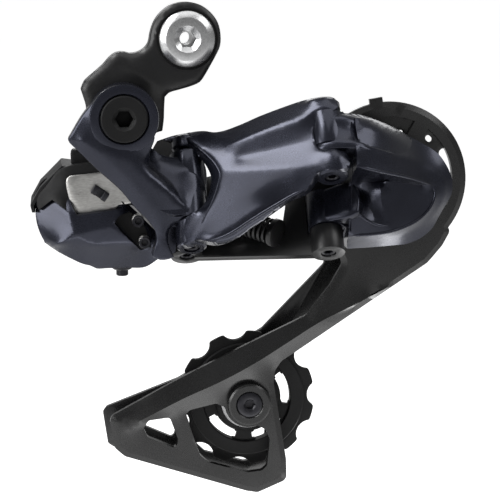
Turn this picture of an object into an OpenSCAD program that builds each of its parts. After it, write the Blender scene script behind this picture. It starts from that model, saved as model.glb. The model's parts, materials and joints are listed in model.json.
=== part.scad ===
// Rear derailleur with a motor unit, slanted parallelogram and sprung two-pulley cage.
// Frame: X forward, Y inboard, Z up. The origin is on the mounting thread, at the hanger's face.

/* [Mounting] */
// Radius of the mounting thread
thread_r = 5; // [4:0.1:6]
// Length of the mounting thread past the hanger face
thread_len = 9.5; // [7:0.5:14]
// Radius of the mounting bolt's head
bolt_head_r = 8.9; // [7:0.1:10]
// Thickness of the mounting bolt's head
bolt_head_t = 3; // [2:0.1:4]
// Radius of the bolt's bearing shank
bolt_shank_r = 6; // [5.6:0.1:6.6]
// Across-flats size of the hexagon sockets
hex_flats = 5; // [4:0.5:6]

/* [Bracket] */
// Thickness of the bracket link
bracket_t = 8.6; // [7:0.1:11]
// Radius of the bracket's eye
bracket_eye_r = 11.3; // [10.5:0.1:13]
// Forward offset of the lower axle from the mounting bolt
axle_dx = -20.8; // [-24:0.1:-18]
// Height of the lower axle from the mounting bolt
axle_dz = -24.3; // [-28:0.1:-22]
// Radius of the lower axle's shank
axle_r = 5; // [4:0.1:5.5]
// Radius of the lower axle's head
axle_head_r = 7.4; // [6.5:0.1:8]

/* [Base knuckle] */
// Radius of the knuckle's ring round the lower axle
ring_r = 10.9; // [10:0.1:12]
// Depth of the knuckle's ring
ring_depth = 10.7; // [9:0.1:13]
// Wall of the bush in the knuckle's ring
bush_wall = 1; // [0.6:0.1:1.4]

/* [Parallelogram] */
// Distance between the two pivots of each link
link_len = 48; // [44:0.5:52]
// Distance between the outer and the inner link
link_gap = 19; // [17:0.5:22]
// Tilt of the pivots from upright
slant = 35; // [30:1:40]
// Angle of the links outboard of the forward direction at rest
rest_angle = 25.3; // [20:0.1:28]
// Radius of the link pins
pin_r = 2.5; // [2:0.1:3]
// Radius of the link eyes
eye_r = 5.3; // [4.8:0.1:5.8]
// Radius of the knuckle barrels between the eyes
barrel_r = 5.8; // [5.2:0.1:6.4]
// Thickness of the outer link's plate
outer_link_t = 3.8; // [3:0.1:5]
// Thickness of the inner link's plate
inner_link_t = 3.2; // [2.5:0.1:4]

/* [Link spring] */
// Mean radius of the spring's coils
spring_r = 3.7; // [3:0.1:4]
// Radius of the spring's wire
spring_wire_r = 0.5; // [0.4:0.05:0.6]
// Number of coils
spring_coils = 12; // [8:1:13]
// Length between the spring's seats
spring_len = 22; // [20:0.5:24]

/* [Pulley knuckle] */
// Largest radius of the pulley knuckle at the cage
dome_r = 21.6; // [19:0.1:22]
// Depth of the hollow in the pulley knuckle's face
hollow_depth = 5; // [3:0.5:6]
// Forward offset of the cage axle from the front outer pivot
cage_dx = 25.1; // [23:0.1:28]
// Height of the cage axle above the foot of the front outer pivot
cage_dz = 5.7; // [4:0.1:8]
// Radius of the cage axle
cage_axle_r = 3.6; // [3:0.1:3.8]

/* [Cage] */
// Middle plane of the pulleys, inboard of the hanger face
chain_line = 11; // [9:0.1:13]
// Gap between the cage plates
cage_gap = 10.8; // [9.5:0.1:12]
// Thickness of the outer cage plate
outer_plate_t = 2.6; // [2:0.1:3.5]
// Thickness of the inner cage plate
inner_plate_t = 2; // [1.6:0.1:3]
// Outer radius of the outer plate's upper ring
cage_ring_r = 26.5; // [25:0.1:28]
// Width of the outer plate's upper ring
cage_ring_w = 4.8; // [4:0.1:6]
// Forward offset of the lower pulley from the cage axle
tension_dx = -47.3; // [-52:0.1:-40]
// Height of the lower pulley from the cage axle
tension_dz = -75.5; // [-90:0.1:-60]
// Forward offset of the upper pulley from the cage axle
guide_dx = -5.5; // [-7:0.1:-4.8]
// Height of the upper pulley from the cage axle
guide_dz = -4.4; // [-6:0.1:-4.2]

/* [Pulleys] */
// Number of teeth
teeth = 11; // [11:1:12]
// Radius over the tooth tips
tip_r = 23.6; // [22:0.1:24.5]
// Radius at the bottom of the tooth gaps
valley_r = 21; // [20:0.1:22]
// Thickness of the toothed rim
tooth_t = 2.4; // [2:0.1:3]
// Radius of the pulley bearing
bearing_r = 7; // [6:0.1:8]
// Radius of the pulley bolts
pulley_bolt_r = 2.5; // [2:0.1:3]

/* [Motor unit] */
// Inboard face of the motor housing
housing_back_y = 12; // [10:0.5:14]
// Wall of the motor housing
housing_wall = 2; // [1.5:0.1:3]
// Radius of the motor
motor_r = 6; // [5:0.1:7]
// Length of the motor
motor_len = 17; // [14:0.5:18]

/* [Hidden] */
$fn = 64;

// Clearance between pieces that turn on each other
run = 0.05;
// Gap between faces that pass each other
gap = 0.3;
// Length that a cut runs past a face
past = 1;

anthracite = "#3a3d48";
black = "#222224";
satin = "#2b2b2d";
steel = "#b9bcc0";
dark_steel = "#1b1c24";

hex_r = hex_flats / 2 / cos(30);
socket_depth = 6;

// Stations along Y
bolt_seat_y = -6.8;
ring_back_y = -bracket_t - gap;
ring_face_y = ring_back_y - ring_depth;
arm_back_y = ring_face_y + 8.2;
plate_face_y = chain_line - cage_gap / 2 - outer_plate_t;
plate_back_y = chain_line - cage_gap / 2;
inner_face_y = chain_line + cage_gap / 2;
inner_back_y = inner_face_y + inner_plate_t;
knuckle_back_y = plate_face_y - gap;
dome_face_y = -25;
dome_shoulder_y = -8;

// Foot of the rear outer pivot, where the slanted frame starts
pivot = [0, -21, -65.5];
inward = [0, cos(slant), -sin(slant)];
front_foot = pivot + link_len * (cos(rest_angle) * [1, 0, 0] - sin(rest_angle) * inward);
cage_at = [front_foot[0] + cage_dx, front_foot[2] + cage_dz];
guide_at = cage_at + [guide_dx, guide_dz];
tension_at = cage_at + [tension_dx, tension_dz];

// Stations along the pivots, from the rear outer pivot's foot
rear_low = [0, 6];
rear_high = [33.3, 39.4];
front_low = [13.7, 23.7];
front_high = [35.6, 41.2];
inner_rear_low = [6, 11];
inner_rear_high = [28.3, 34];
inner_front_low = [-3.4, 5];
inner_front_high = [17.3, 22];

// Extrude a drawing of the XZ plane from y0 to y1
module slab(y0, y1) {
  translate([0, y1, 0]) rotate([90, 0, 0]) linear_extrude(y1 - y0) children();
}
// Round bar along Y
module bar(at, r, y0, y1) {
  translate([at[0], y0, at[1]]) rotate([-90, 0, 0]) cylinder(r = r, h = y1 - y0);
}
// Hexagonal socket along Y that opens at y0
module socket(at, y0, depth) {
  translate([at[0], y0, at[1]]) rotate([-90, 0, 0]) cylinder(r = hex_r, h = depth, $fn = 6);
}
// Round the corners of a drawing
module soften(r) {
  offset(r, $fn = 32) offset(-2 * r, $fn = 32) offset(r, $fn = 32) children();
}
// Place in the slanted frame: x forward, y inboard along the swing, z along the pivots
module slanted() {
  translate(pivot) rotate([-slant, 0, 0]) children();
}
module outer_frame() {
  slanted() rotate([0, 0, -rest_angle]) children();
}
module inner_frame() {
  slanted() translate([0, link_gap, 0]) rotate([0, 0, -rest_angle]) children();
}
// Round bar along the pivots, between two stations
module post(x, r, span) {
  translate([x, 0, span[0]]) cylinder(r = r, h = span[1] - span[0]);
}
// Extrude a drawing of the link's own plane across its thickness, from p0 to p1
module web(p0, p1) {
  translate([0, p1, 0]) rotate([90, 0, 0]) linear_extrude(p1 - p0) children();
}
function between(a, b) = [a[1] + gap, b[0] - gap];

axle_at = [axle_dx, axle_dz];
head_recess_r = bolt_head_r + 0.8;
collar_r = bolt_shank_r + 2;
collar_t = 1.2;

module mounting_bolt() {
  color(steel) difference() {
    union() {
      bar([0, 0], bolt_head_r, bolt_seat_y - bolt_head_t, bolt_seat_y);
      bar([0, 0], bolt_shank_r, bolt_seat_y - past, 0);
      bar([0, 0], thread_r, -past, thread_len);
    }
    socket([0, 0], bolt_seat_y - bolt_head_t - past, socket_depth + past);
    bar([0, 0], hex_flats / 2 - 0.4, bolt_seat_y - bolt_head_t, thread_len + past);
  }
}
module retaining_ring() {
  color(dark_steel) difference() {
    bar([0, 0], collar_r, -collar_t, 0);
    bar([0, 0], bolt_shank_r, -collar_t - past, past);
  }
}
// Outline of the bracket from the eye's left side, past the lower axle, to the eye's right side
module bracket_outline() {
  neck = axle_at + [4, 19.9];
  soften(1.2) union() {
    circle(bracket_eye_r);
    translate(axle_at) circle(axle_head_r + 5.2);
    polygon([
      [-bracket_eye_r + 1.5, 3], neck, axle_at + [-1.5, 20.5], axle_at + [-4.6, 18.2],
      axle_at + [-13.4, 8.1], axle_at + [-12.1, 2.5], axle_at + [-9, -7],
      axle_at + [10.4, -5.7], axle_at + [13.1, -4.9], axle_at + [13.1, 1.5],
      axle_at + [14, 6.6], [4.1, -14], [bracket_eye_r - 0.8, -2.5]
    ]);
  }
}
stop_screw_r = 2;
stop_screw_len = 8;
stop_screw_at = [axle_dx - 2.5, -bracket_t / 2, axle_dz + 12.3];
// Round bar that runs rearward from a point
module rear_bar(at, r, len) {
  translate(at) rotate([0, -90, 0]) cylinder(r = r, h = len);
}
module bracket_link() {
  color(satin) difference() {
    slab(-bracket_t, 0) bracket_outline();
    bar([0, 0], head_recess_r, -bracket_t - past, bolt_seat_y);
    bar([0, 0], bolt_shank_r + run, -bracket_t, past);
    bar([0, 0], collar_r + gap, -collar_t - gap, past);
    bar(axle_at, axle_r, -bracket_t - past, past);
    rear_bar(stop_screw_at, stop_screw_r, stop_screw_len + 12);
  }
}
module stop_screw() {
  color(steel) difference() {
    rear_bar(stop_screw_at, stop_screw_r, stop_screw_len);
    translate(stop_screw_at - [stop_screw_len - 3, 0, 0]) rotate([0, -90, 0])
      cylinder(r = 1.1, h = 3 + past, $fn = 6);
  }
}
axle_head_t = 3.6;
axle_head_y = ring_face_y - 0.4;
axle_seat_y = axle_head_y + axle_head_t;
module axle_bolt() {
  color(dark_steel) difference() {
    union() {
      bar(axle_at, axle_head_r, axle_head_y, axle_seat_y);
      bar(axle_at, axle_r, axle_seat_y - past, -past);
    }
    socket(axle_at, axle_head_y - past, socket_depth + past);
  }
}
bush_r = axle_r + run + bush_wall;
// Rearward reach of the web between the knuckle's two barrels
web_reach = 9;
module axle_bush() {
  color("#8d6f3a") difference() {
    bar(axle_at, bush_r, axle_seat_y + gap, ring_back_y);
    bar(axle_at, axle_r + run, ring_face_y, 0);
  }
}
// Outline of the knuckle's diagonal arm and its foot, from the upper rear corner round
module arm_outline() {
  foot = [pivot[0] - 9.6, pivot[2] - 3.6];
  soften(1.2) polygon([
    axle_at + [-11.7, 0.2], axle_at + [-16.8, -7.8], axle_at + [-1.3, -22.3],
    axle_at + [4.1, -28.6], foot + [-0.8, 9.6], foot + [-2.2, 1.3], foot, foot + [5, 0.7],
    foot + [6, 9.6], foot + [13, 15.7], foot + [10.5, 15.4], axle_at + [8.1, -13.8], axle_at + [7, 4]
  ]);
}
module base_knuckle() {
  color(anthracite) difference() {
    union() {
      bar(axle_at, ring_r, ring_face_y, ring_back_y);
      slab(ring_face_y, arm_back_y) arm_outline();
      slanted() {
        post(0, barrel_r, between(rear_low, rear_high));
        translate([0, link_gap, 0]) post(0, barrel_r, between(inner_rear_low, inner_rear_high));
        translate([-web_reach, 0, inner_rear_low[1] + gap])
          cube([web_reach, link_gap, inner_rear_high[0] - inner_rear_low[1] - 2 * gap]);
      }
    }
    bar(axle_at, axle_head_r + gap, ring_face_y - past, axle_seat_y + gap);
    bar(axle_at, bush_r, ring_face_y, ring_back_y + past);
    slanted() {
      post(0, pin_r + run, [rear_low[0] - 6, rear_high[1]]);
      post(0, eye_r + 2 * gap, [rear_low[0] - 20, rear_low[1] + gap]);
      translate([0, link_gap, 0]) post(0, pin_r + run, [inner_rear_low[0], inner_rear_high[1]]);
    }
  }
}

// Outline of the motor housing seen from outboard, from its upper rear corner round
housing_points = [
  [-46.5, -48], [-40, -41.5], [-33, -42.5], [-19, -53], [pivot[0] - web_reach - gap, -63],
  [pivot[0] - web_reach - gap, -71], [-16, -74.2], [-30, -74.2], [-41.9, -68.7], [-46.5, -65.3],
  [-49.3, -53]
];
// Outline of the housing's raised outboard facet
facet_points = [[-38.5, -55.5], [-24, -54.3], [-17.5, -62], [-18, -68], [-27, -66.5], [-36.3, -62.5]];
facet_y = ring_face_y + 5;
housing_face_y = arm_back_y + 2.2;
module housing_outline(inset) {
  offset(delta = -inset) polygon(housing_points);
}
motor_at = [-44.3, 3.8, -58];
worm_len = 6;
gear_shaft_r = 1.5;
gear_shaft_foot = 1.5;
gear_r = 5;
gear_at = [motor_at[0] + motor_len + worm_len / 2 + 2.5, motor_at[2] - gear_r - 3];
motor_seat_y = motor_at[1] - motor_r;
module motor_housing() {
  color(anthracite) difference() {
    union() {
      slab(housing_face_y, housing_back_y) housing_outline(0);
      hull() {
        slab(facet_y, facet_y + 0.2) polygon(facet_points);
        slab(housing_face_y + 1, housing_face_y + 1.2) housing_outline(1.5);
      }
    }
    slab(motor_seat_y, housing_back_y + past) difference() {
      housing_outline(housing_wall);
      for (p = screw_at) translate(p) circle(screw_boss_r);
    }
    bar(gear_at, gear_shaft_r, motor_seat_y - gear_shaft_foot, housing_back_y);
    slab(facet_y - past, housing_face_y) offset(delta = gap) heat_outline();
    limit_holes();
    screw_holes();
    rear_bar(socket_at, socket_r, 14);
    translate([drain_at[0], drain_at[1], drain_at[2] - past]) cylinder(r = drain_r, h = 8);
  }
}
gasket_t = 0.8;
cover_t = 2.4;
module cover_gasket() {
  color("#141416") difference() {
    slab(housing_back_y, housing_back_y + gasket_t) housing_outline(0.4);
    slab(housing_back_y - past, housing_back_y + gasket_t + past) difference() {
      housing_outline(housing_wall);
      for (p = screw_at) translate(p) circle(screw_boss_r);
    }
    screw_holes();
  }
}
// Outline of the rim that the cover folds over the housing's upper rear side
module rim_outline() {
  intersection() {
    offset(delta = rim_t) polygon(housing_points);
    polygon([[-60, -55], [-60, -30], [-27, -30], [-27, -50], [-44, -55]]);
  }
}
rim_t = 1.3;
rim_y = housing_face_y + 2;
module motor_cover() {
  cover_y = housing_back_y + gasket_t;
  color(black) difference() {
    union() {
      slab(cover_y, cover_y + cover_t) soften(0.6) union() {
        housing_outline(0);
        rim_outline();
      }
      slab(cover_y + cover_t - 0.2, cover_y + cover_t + 1) soften(1) housing_outline(4);
      slab(rim_y, cover_y + past) difference() {
        rim_outline();
        offset(delta = gap) polygon(housing_points);
      }
    }
    screw_holes();
    rear_bar(socket_at, socket_r, 14);
    for (p = screw_at) bar(p, screw_head_r + gap, cover_y + cover_t, cover_y + cover_t + 4);
  }
}
plate_t = 1.2;
clip_at = [-28.5, -48.5];
module heat_outline() {
  soften(0.8) polygon([[-39.5, -45.5], [-30, -44], [-23.2, -50], [-21.5, -53.5], [-36, -55]]);
}
module heat_plate() {
  color(steel) slab(housing_face_y - plate_t, housing_face_y) heat_outline();
}
// Bent spring clip that holds the plate
module plate_clip() {
  y0 = housing_face_y - plate_t;
  color(steel) difference() {
    slab(y0 - 2.2, y0) translate(clip_at) rotate(-35) square([5.5, 3], center = true);
    slab(y0 - 2.2 - past, y0 - 0.8) translate(clip_at) rotate(-35) square([2, 4], center = true);
  }
}
module motor() {
  color("#77797d") translate(motor_at) rotate([0, 90, 0]) union() {
    cylinder(r = motor_r, h = motor_len);
    translate([0, 0, motor_len - past]) cylinder(r = 1, h = past + 1);
  }
}
module motor_worm() {
  color("#c9a648") translate(motor_at + [motor_len + 1 + gap, 0, 0]) rotate([0, 90, 0]) difference() {
    union() {
      for (i = [0 : 4])
        translate([0, 0, i * worm_len / 5]) cylinder(r1 = 2.4, r2 = 1.6, h = worm_len / 5);
      cylinder(r = 1.8, h = worm_len);
    }
    translate([0, 0, -past]) cylinder(r = 0.7, h = 3);
  }
}
module drive_gear() {
  color("#c9a648") difference() {
    slab(motor_at[1] - 2, motor_at[1] + 2) translate(gear_at) difference() {
      circle(gear_r);
      for (i = [0 : 19]) rotate(i * 18) translate([gear_r + 0.2, 0]) circle(0.75, $fn = 24);
    }
    bar(gear_at, gear_shaft_r + run, -20, 20);
  }
}
module gear_shaft() {
  color(steel) bar(gear_at, gear_shaft_r, motor_seat_y - gear_shaft_foot, housing_back_y - gap);
}
module control_board() {
  color("#1f5a34") slab(housing_back_y - 1.4, housing_back_y - 0.4)
    difference() {
      intersection() {
        housing_outline(housing_wall + gap);
        translate([-47, -70]) square([20, 26]);
      }
      for (p = screw_at) translate(p) circle(screw_boss_r + gap);
    }
}
socket_r = 3.4;
socket_at = [-40, 0.8, -48];
module wire_socket() {
  color(black) translate(socket_at) rotate([0, -90, 0]) difference() {
    cylinder(r = socket_r, h = 5.6);
    translate([0, 0, 1]) cylinder(r = 2.2, h = 6);
  }
}
limit_at = [[-16.5, -57.5], [-14.5, -64.5]];
limit_r = 1.3;
limit_face_y = facet_y + 2;
module limit_holes() {
  for (p = limit_at) {
    bar(p, limit_r, limit_face_y, motor_seat_y - 0.5);
    bar(p, limit_r + 1.2, facet_y - past, housing_face_y + 1);
  }
}
module limit_screws() {
  color(dark_steel) for (p = limit_at) difference() {
    union() {
      bar(p, limit_r, limit_face_y, motor_seat_y - 0.5);
      bar(p, limit_r + 0.6, limit_face_y - 1.2, limit_face_y);
    }
    translate([p[0], limit_face_y - 2, p[1]]) rotate([-90, 0, 0]) cylinder(r = 0.8, h = 1.6, $fn = 6);
  }
}
// Coil of wire under the head of each limit screw
module limit_springs() {
  color(steel) for (p = limit_at)
    translate([p[0], limit_face_y + 0.05, p[1]]) rotate([-90, 0, 0])
      coil_spring(limit_r + limit_wire_r + 0.1, limit_wire_r, 2, housing_face_y + 0.9 - limit_face_y);
}
limit_wire_r = 0.3;
screw_at = [[-40.5, -45.6], [-40, -66.8], [-13.5, -69]];
screw_r = 1.1;
screw_boss_r = 2.3;
screw_head_r = screw_r + 0.9;
module screw_holes() {
  for (p = screw_at) bar(p, screw_r, housing_back_y - 7, housing_back_y + 10);
}
module housing_screws() {
  head_y = housing_back_y + gasket_t + cover_t;
  color(dark_steel) for (p = screw_at) difference() {
    union() {
      bar(p, screw_r, housing_back_y - 7, head_y + past);
      bar(p, screw_head_r, head_y, head_y + 1.6);
    }
    translate([p[0], head_y + 0.5, p[1]]) rotate([-90, 0, 0]) cylinder(r = 0.9, h = 3, $fn = 6);
  }
}
drain_r = 2;
drain_at = [-21.3, 0, -74.2];
module drain_plug() {
  color(dark_steel) translate(drain_at) difference() {
    union() {
      translate([0, 0, -2]) cylinder(r = drain_r + 1.3, h = 2);
      translate([0, 0, -past]) cylinder(r = drain_r, h = past + housing_wall);
    }
    translate([0, 0, -2 - past]) cylinder(r = 1.3, h = 1 + past, $fn = 6);
  }
}

// Outer link: a broad plate between two pairs of eyes, outboard of the pivots
module outer_link() {
  face = -eye_r + 0.4;
  color(anthracite) outer_frame() difference() {
    union() {
      post(0, eye_r, rear_low);
      post(0, eye_r, rear_high);
      post(link_len, eye_r, front_low);
      post(link_len, eye_r, front_high);
      web(face, face + outer_link_t) soften(0.8) polygon([
        [-2.8, rear_high[1] - 4], [-1.3, rear_high[1] - 0.6], [8, rear_high[1] + 0.2],
        [11.2, rear_high[1] - 1.3], [19.2, rear_high[1] - 0.8], [34.2, front_high[1] + 0.1],
        [link_len - 2, front_high[1] + 0.6], [link_len + 3.6, front_high[1] - 0.4],
        [link_len + eye_r - 0.5, front_high[0] + 0.2], [link_len - 2, front_high[0]],
        [link_len - 3.3, 29.4], [link_len - 2.4, front_low[1]], [link_len + eye_r - 0.5, front_low[1] - 2],
        [link_len + eye_r - 0.5, front_low[0]], [link_len + 1, front_low[0] + 0.5],
        [link_len - 9.2, front_low[0] - 1.7], [24.1, 5.8], [14.8, 1.7], [7.4, rear_low[0] + 0.8],
        [-1.8, rear_low[0]], [2.7, rear_low[0] + 2.3], [5.3, 9.5], [8.4, 15.3], [11.2, 22],
        [7.8, rear_high[0] - 5.6], [3.9, rear_high[0] - 1.2]
      ]);
    }
    post(0, barrel_r + 2 * gap, [rear_low[1], rear_high[0]]);
    post(link_len, barrel_r + 2 * gap, [front_low[1], front_high[0]]);
    post(0, pin_r, [rear_low[0] - past, rear_high[1] + past]);
    post(link_len, pin_r, [front_low[0] - past, front_high[1] + past]);
  }
}
// Pin with a hexagonal socket in its foot
module link_pin(x, low, high) {
  post_span = [low[0] + 0.4, high[1] - 0.4];
  difference() {
    post(x, pin_r, post_span);
    translate([x, 0, post_span[0] - past]) cylinder(r = 1.5, h = 2 + past, $fn = 6);
  }
}
module outer_pin_rear() {
  color(steel) outer_frame() link_pin(0, rear_low, rear_high);
}
module outer_pin_front() {
  color(steel) outer_frame() link_pin(link_len, front_low, front_high);
}

// Axis of the link spring in the inner link's own frame
spring_from = [12.5, -4.6, 17];
spring_tilt = 30;
inner_web = 0.6;
module spring_frame() {
  translate(spring_from) rotate([0, 90 + spring_tilt, 0]) children();
}
module spring_seats() {
  seat_t = 1.6;
  for (z = [-seat_t, spring_len]) spring_frame() {
    translate([0, 0, z]) cylinder(r = spring_r + 0.9, h = seat_t);
    translate([-2.2, 0, z]) cube([4.4, inner_web - spring_from[1] + past, seat_t]);
  }
}
module inner_link() {
  reach = link_len - 6;
  color(satin) inner_frame() difference() {
    union() {
      post(0, eye_r, inner_rear_low);
      post(0, eye_r, inner_rear_high);
      post(link_len, eye_r, inner_front_low);
      post(link_len, eye_r, inner_front_high);
      web(inner_web, inner_web + inner_link_t) polygon([
        [0, inner_rear_low[0]], [link_len, inner_front_low[0]], [link_len, inner_front_low[1]],
        [reach, inner_front_low[1]], [reach, inner_front_high[0]], [link_len, inner_front_high[0]],
        [link_len, inner_front_high[1]], [reach - 6, inner_front_high[1]], [reach - 9, 9],
        [18, 20], [10, inner_rear_high[1]], [0, inner_rear_high[1]], [0, inner_rear_high[0]],
        [8, inner_rear_high[0] - 2], [8, inner_rear_low[1] + 2], [0, inner_rear_low[1]]
      ]);
      spring_seats();
    }
    post(0, barrel_r + 2 * gap, [inner_rear_low[1], inner_rear_high[0]]);
    post(link_len, barrel_r + 2 * gap, [inner_front_low[1], inner_front_high[0]]);
    post(0, pin_r, [inner_rear_low[0] - past, inner_rear_high[1] + past]);
    post(link_len, pin_r, [inner_front_low[0] - past, inner_front_high[1] + past]);
  }
}
module inner_pin_rear() {
  color(steel) inner_frame() link_pin(0, inner_rear_low, inner_rear_high);
}
module inner_pin_front() {
  color(steel) inner_frame() link_pin(link_len, inner_front_low, inner_front_high);
}
// Spring clips that hold the upper ends of the link pins
module pin_clip(x, high) {
  clip_t = 0.7;
  color(steel) difference() {
    post(x, pin_r + 1.3, [high[1], high[1] + clip_t]);
    translate([x - 0.9, 0, high[1] - past]) cube([1.8, pin_r + 3, clip_t + 2 * past]);
  }
}
module pin_clips() {
  inner_frame() pin_clip(0, inner_rear_high);
  inner_frame() pin_clip(link_len, inner_front_high);
}

// Helical tube along z, between two seats, with straight ends square to the seats
rings_per_coil = 8;
wire_sides = 6;
function coil_path(r, wire_r, coils, length) =
  let (
    ends = 2 * wire_r + 0.1,
    pitch = (length - 2 * ends) / coils,
    count = coils * rings_per_coil,
    turns = [for (i = [0 : count]) let (turn = 360 * i / rings_per_coil)
      [r * cos(turn), r * sin(turn), ends + pitch * i / rings_per_coil]]
  )
  concat([turns[0] - [0, 0, ends - 0.05]], turns, [turns[count] + [0, 0, ends - 0.05]]);
function unit(v) = v / norm(v);
function path_way(path, i) = unit(path[min(i + 1, len(path) - 1)] - path[max(i - 1, 0)]);
function tube_points(path, wire_r) = [
  for (i = [0 : len(path) - 1])
    let (
      out = unit([path[i][0], path[i][1], 0]),
      side = unit(cross(path_way(path, i), out))
    )
    for (k = [0 : wire_sides - 1])
      path[i] + wire_r * (cos(360 * k / wire_sides) * out + sin(360 * k / wire_sides) * side)
];
function next_side(k) = (k + 1) % wire_sides;
function tube_faces(count) = concat(
  [for (i = [0 : count - 2]) for (k = [0 : wire_sides - 1])
    [i * wire_sides + k, i * wire_sides + next_side(k), (i + 1) * wire_sides + k]],
  [for (i = [0 : count - 2]) for (k = [0 : wire_sides - 1])
    [i * wire_sides + next_side(k), (i + 1) * wire_sides + next_side(k), (i + 1) * wire_sides + k]],
  [for (k = [1 : wire_sides - 2]) [0, k + 1, k]],
  [for (k = [1 : wire_sides - 2]) (count - 1) * wire_sides * [1, 1, 1] + [0, k, k + 1]]
);
// Least distance between wire centres a half coil or more apart, less the wire
function self_gap(path, wire_r) = min([
  for (i = [0 : len(path) - 1]) for (j = [i + rings_per_coil / 2 : 1 : len(path) - 1])
    norm(path[i] - path[j])
]) - 2 * wire_r;
module coil_spring(r, wire_r, coils, length) {
  path = coil_path(r, wire_r, coils, length);
  echo(spring_self_gap = self_gap(path, wire_r));
  polyhedron(tube_points(path, wire_r), tube_faces(len(path)));
}
module link_spring() {
  color(black) inner_frame() spring_frame() coil_spring(spring_r, spring_wire_r, spring_coils, spring_len);
}

// Pulley knuckle: a dome round the cage axle with a lug for each link
spring_room_r = 9;
spring_room_y = -10;
spring_roof = 2;
knuckle_bush_wall = 1;
knuckle_bore_r = cage_axle_r + run + knuckle_bush_wall;
axle_end_y = -15;
module lug(y) {
  slanted() translate([link_len * cos(rest_angle), y - link_len * sin(rest_angle), 0]) children();
}
// Outline of the knuckle where it meets the cage, from its upper rear corner round
module dome_outline() {
  intersection() {
    translate(cage_at) polygon([
      [-17, 20.4], [-10, 21.4], [1.1, 17.1], [11, 11.7], [16.8, 5.8], [19.6, 0.4], [19.5, -4.3],
      [17.2, -8.3], [12.7, -15.3], [7.3, -19.5], [0.4, -20.9], [-15, -21.7]
    ]);
    translate(cage_at) circle(dome_r);
  }
}
// Outline of the knuckle's outboard face
module face_outline() {
  translate(cage_at) polygon([
    [-18, 9], [-5.2, 6.6], [5.6, 3.2], [7.6, 0.6], [7.4, -3.9], [2.9, -8.6], [-6.8, -11.7], [-18, -12.4]
  ]);
}
module pulley_knuckle() {
  color(anthracite) difference() {
    union() {
      difference() {
        hull() {
          slab(dome_shoulder_y, knuckle_back_y) dome_outline();
          slab(dome_face_y, dome_face_y + 0.4) face_outline();
        }
        slab(dome_face_y - past, dome_face_y + hollow_depth) offset(delta = -1.6) face_outline();
      }
      hull() {
        lug(0) post(0, barrel_r, [front_low[1] - gap, front_high[0] + gap]);
        bar(cage_at + [-10, 9], 5, dome_shoulder_y - 8, dome_shoulder_y + 4);
      }
      hull() {
        lug(link_gap) post(0, barrel_r, [inner_front_low[1] - gap, inner_front_high[0] + gap]);
        bar(cage_at + [-10, -10], 6, dome_shoulder_y - 7, dome_shoulder_y + 4);
      }
      slab(plate_face_y - stop_reach, knuckle_back_y) translate(cage_at) rotate(stop_angle - 9.5)
        translate([dome_r - 7, -1.8]) square([10.3, 3.6]);
    }
    lug(0) {
      post(0, pin_r + run, [front_low[0], front_high[1]]);
      post(0, eye_r + 2 * gap, [front_low[0] - 20, front_low[1] + gap]);
      post(0, eye_r + 2 * gap, [front_high[0] - gap, front_high[1] + 20]);
    }
    lug(link_gap) {
      post(0, pin_r + run, [inner_front_low[0], inner_front_high[1]]);
      post(0, eye_r + 2 * gap, [inner_front_low[0] - 20, inner_front_low[1] + gap]);
      post(0, eye_r + 2 * gap, [inner_front_high[0] - gap, inner_front_high[1] + 20]);
    }
    bar(cage_at, knuckle_bore_r, axle_end_y - gap, knuckle_back_y + past);
    bar(cage_at, spring_room_r, spring_room_y, knuckle_back_y - spring_roof);
    bar(cage_at, seal_r, knuckle_back_y - seal_t, knuckle_back_y + past);
  }
}
module knuckle_bush() {
  color("#8d6f3a") difference() {
    bar(cage_at, knuckle_bore_r, axle_end_y - gap + 0.2, spring_room_y);
    bar(cage_at, cage_axle_r + run, axle_end_y - past, 0);
  }
}
seal_r = 9;
seal_t = 1.2;
module axle_seal() {
  color("#141416") difference() {
    bar(cage_at, seal_r, knuckle_back_y - seal_t, knuckle_back_y);
    bar(cage_at, cage_axle_r + run, knuckle_back_y - seal_t - past, knuckle_back_y + past);
  }
}
// Torsion spring of the cage, in the knuckle's spring room
cage_wire_r = 1;
module cage_spring() {
  room = knuckle_back_y - spring_roof - spring_room_y;
  color(steel) translate([cage_at[0], spring_room_y + 0.1, cage_at[1]]) rotate([-90, 0, 0])
    coil_spring(spring_room_r - cage_wire_r - gap, cage_wire_r, 4, room - 0.2);
}

module cage_axle() {
  color(steel) bar(cage_at, cage_axle_r, axle_end_y, plate_back_y);
}
pulley_boss_r = 7.4;
boss_face_y = plate_face_y - 2;
// Outline of the lower half of a cage plate round the lower pulley, from the front edge down and round
function tail_points() = [
  for (p = [
    [16.3, 17.6], [11.2, 14.4], [9, 11.1], [8.5, 6.9], [12.9, -20.1], [13.1, -26.9], [12.1, -28.1],
    [3.1, -31.9], [-0.7, -31.2], [-42.3, -17.3], [-45.7, -14.3], [-47.2, -4.8], [-46.5, -2.9],
    [-24.2, 9], [-1.1, 20.3], [19.4, 29.9]
  ]) tension_at + p
];
module tail_windows() {
  soften(1.2) translate(tension_at)
    polygon([[-36, -7.4], [-34.2, -4.8], [-27, -4], [-24.2, -12], [-25, -15], [-34.6, -10.6]]);
  soften(1.2) difference() {
    translate(tension_at) polygon([
      [-21.5, -2.9], [-20.2, -1.6], [-11.3, 0.4], [-6, -2], [5.8, -9.5], [7.2, -13.1], [6.2, -22.3],
      [4.4, -23.9], [-0.4, -24.4], [-14.1, -20.3], [-16.9, -17.5], [-20.2, -7.5]
    ]);
    translate(tension_at) circle(pulley_boss_r + 0.9);
  }
}
hub_r = 10;
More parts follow.
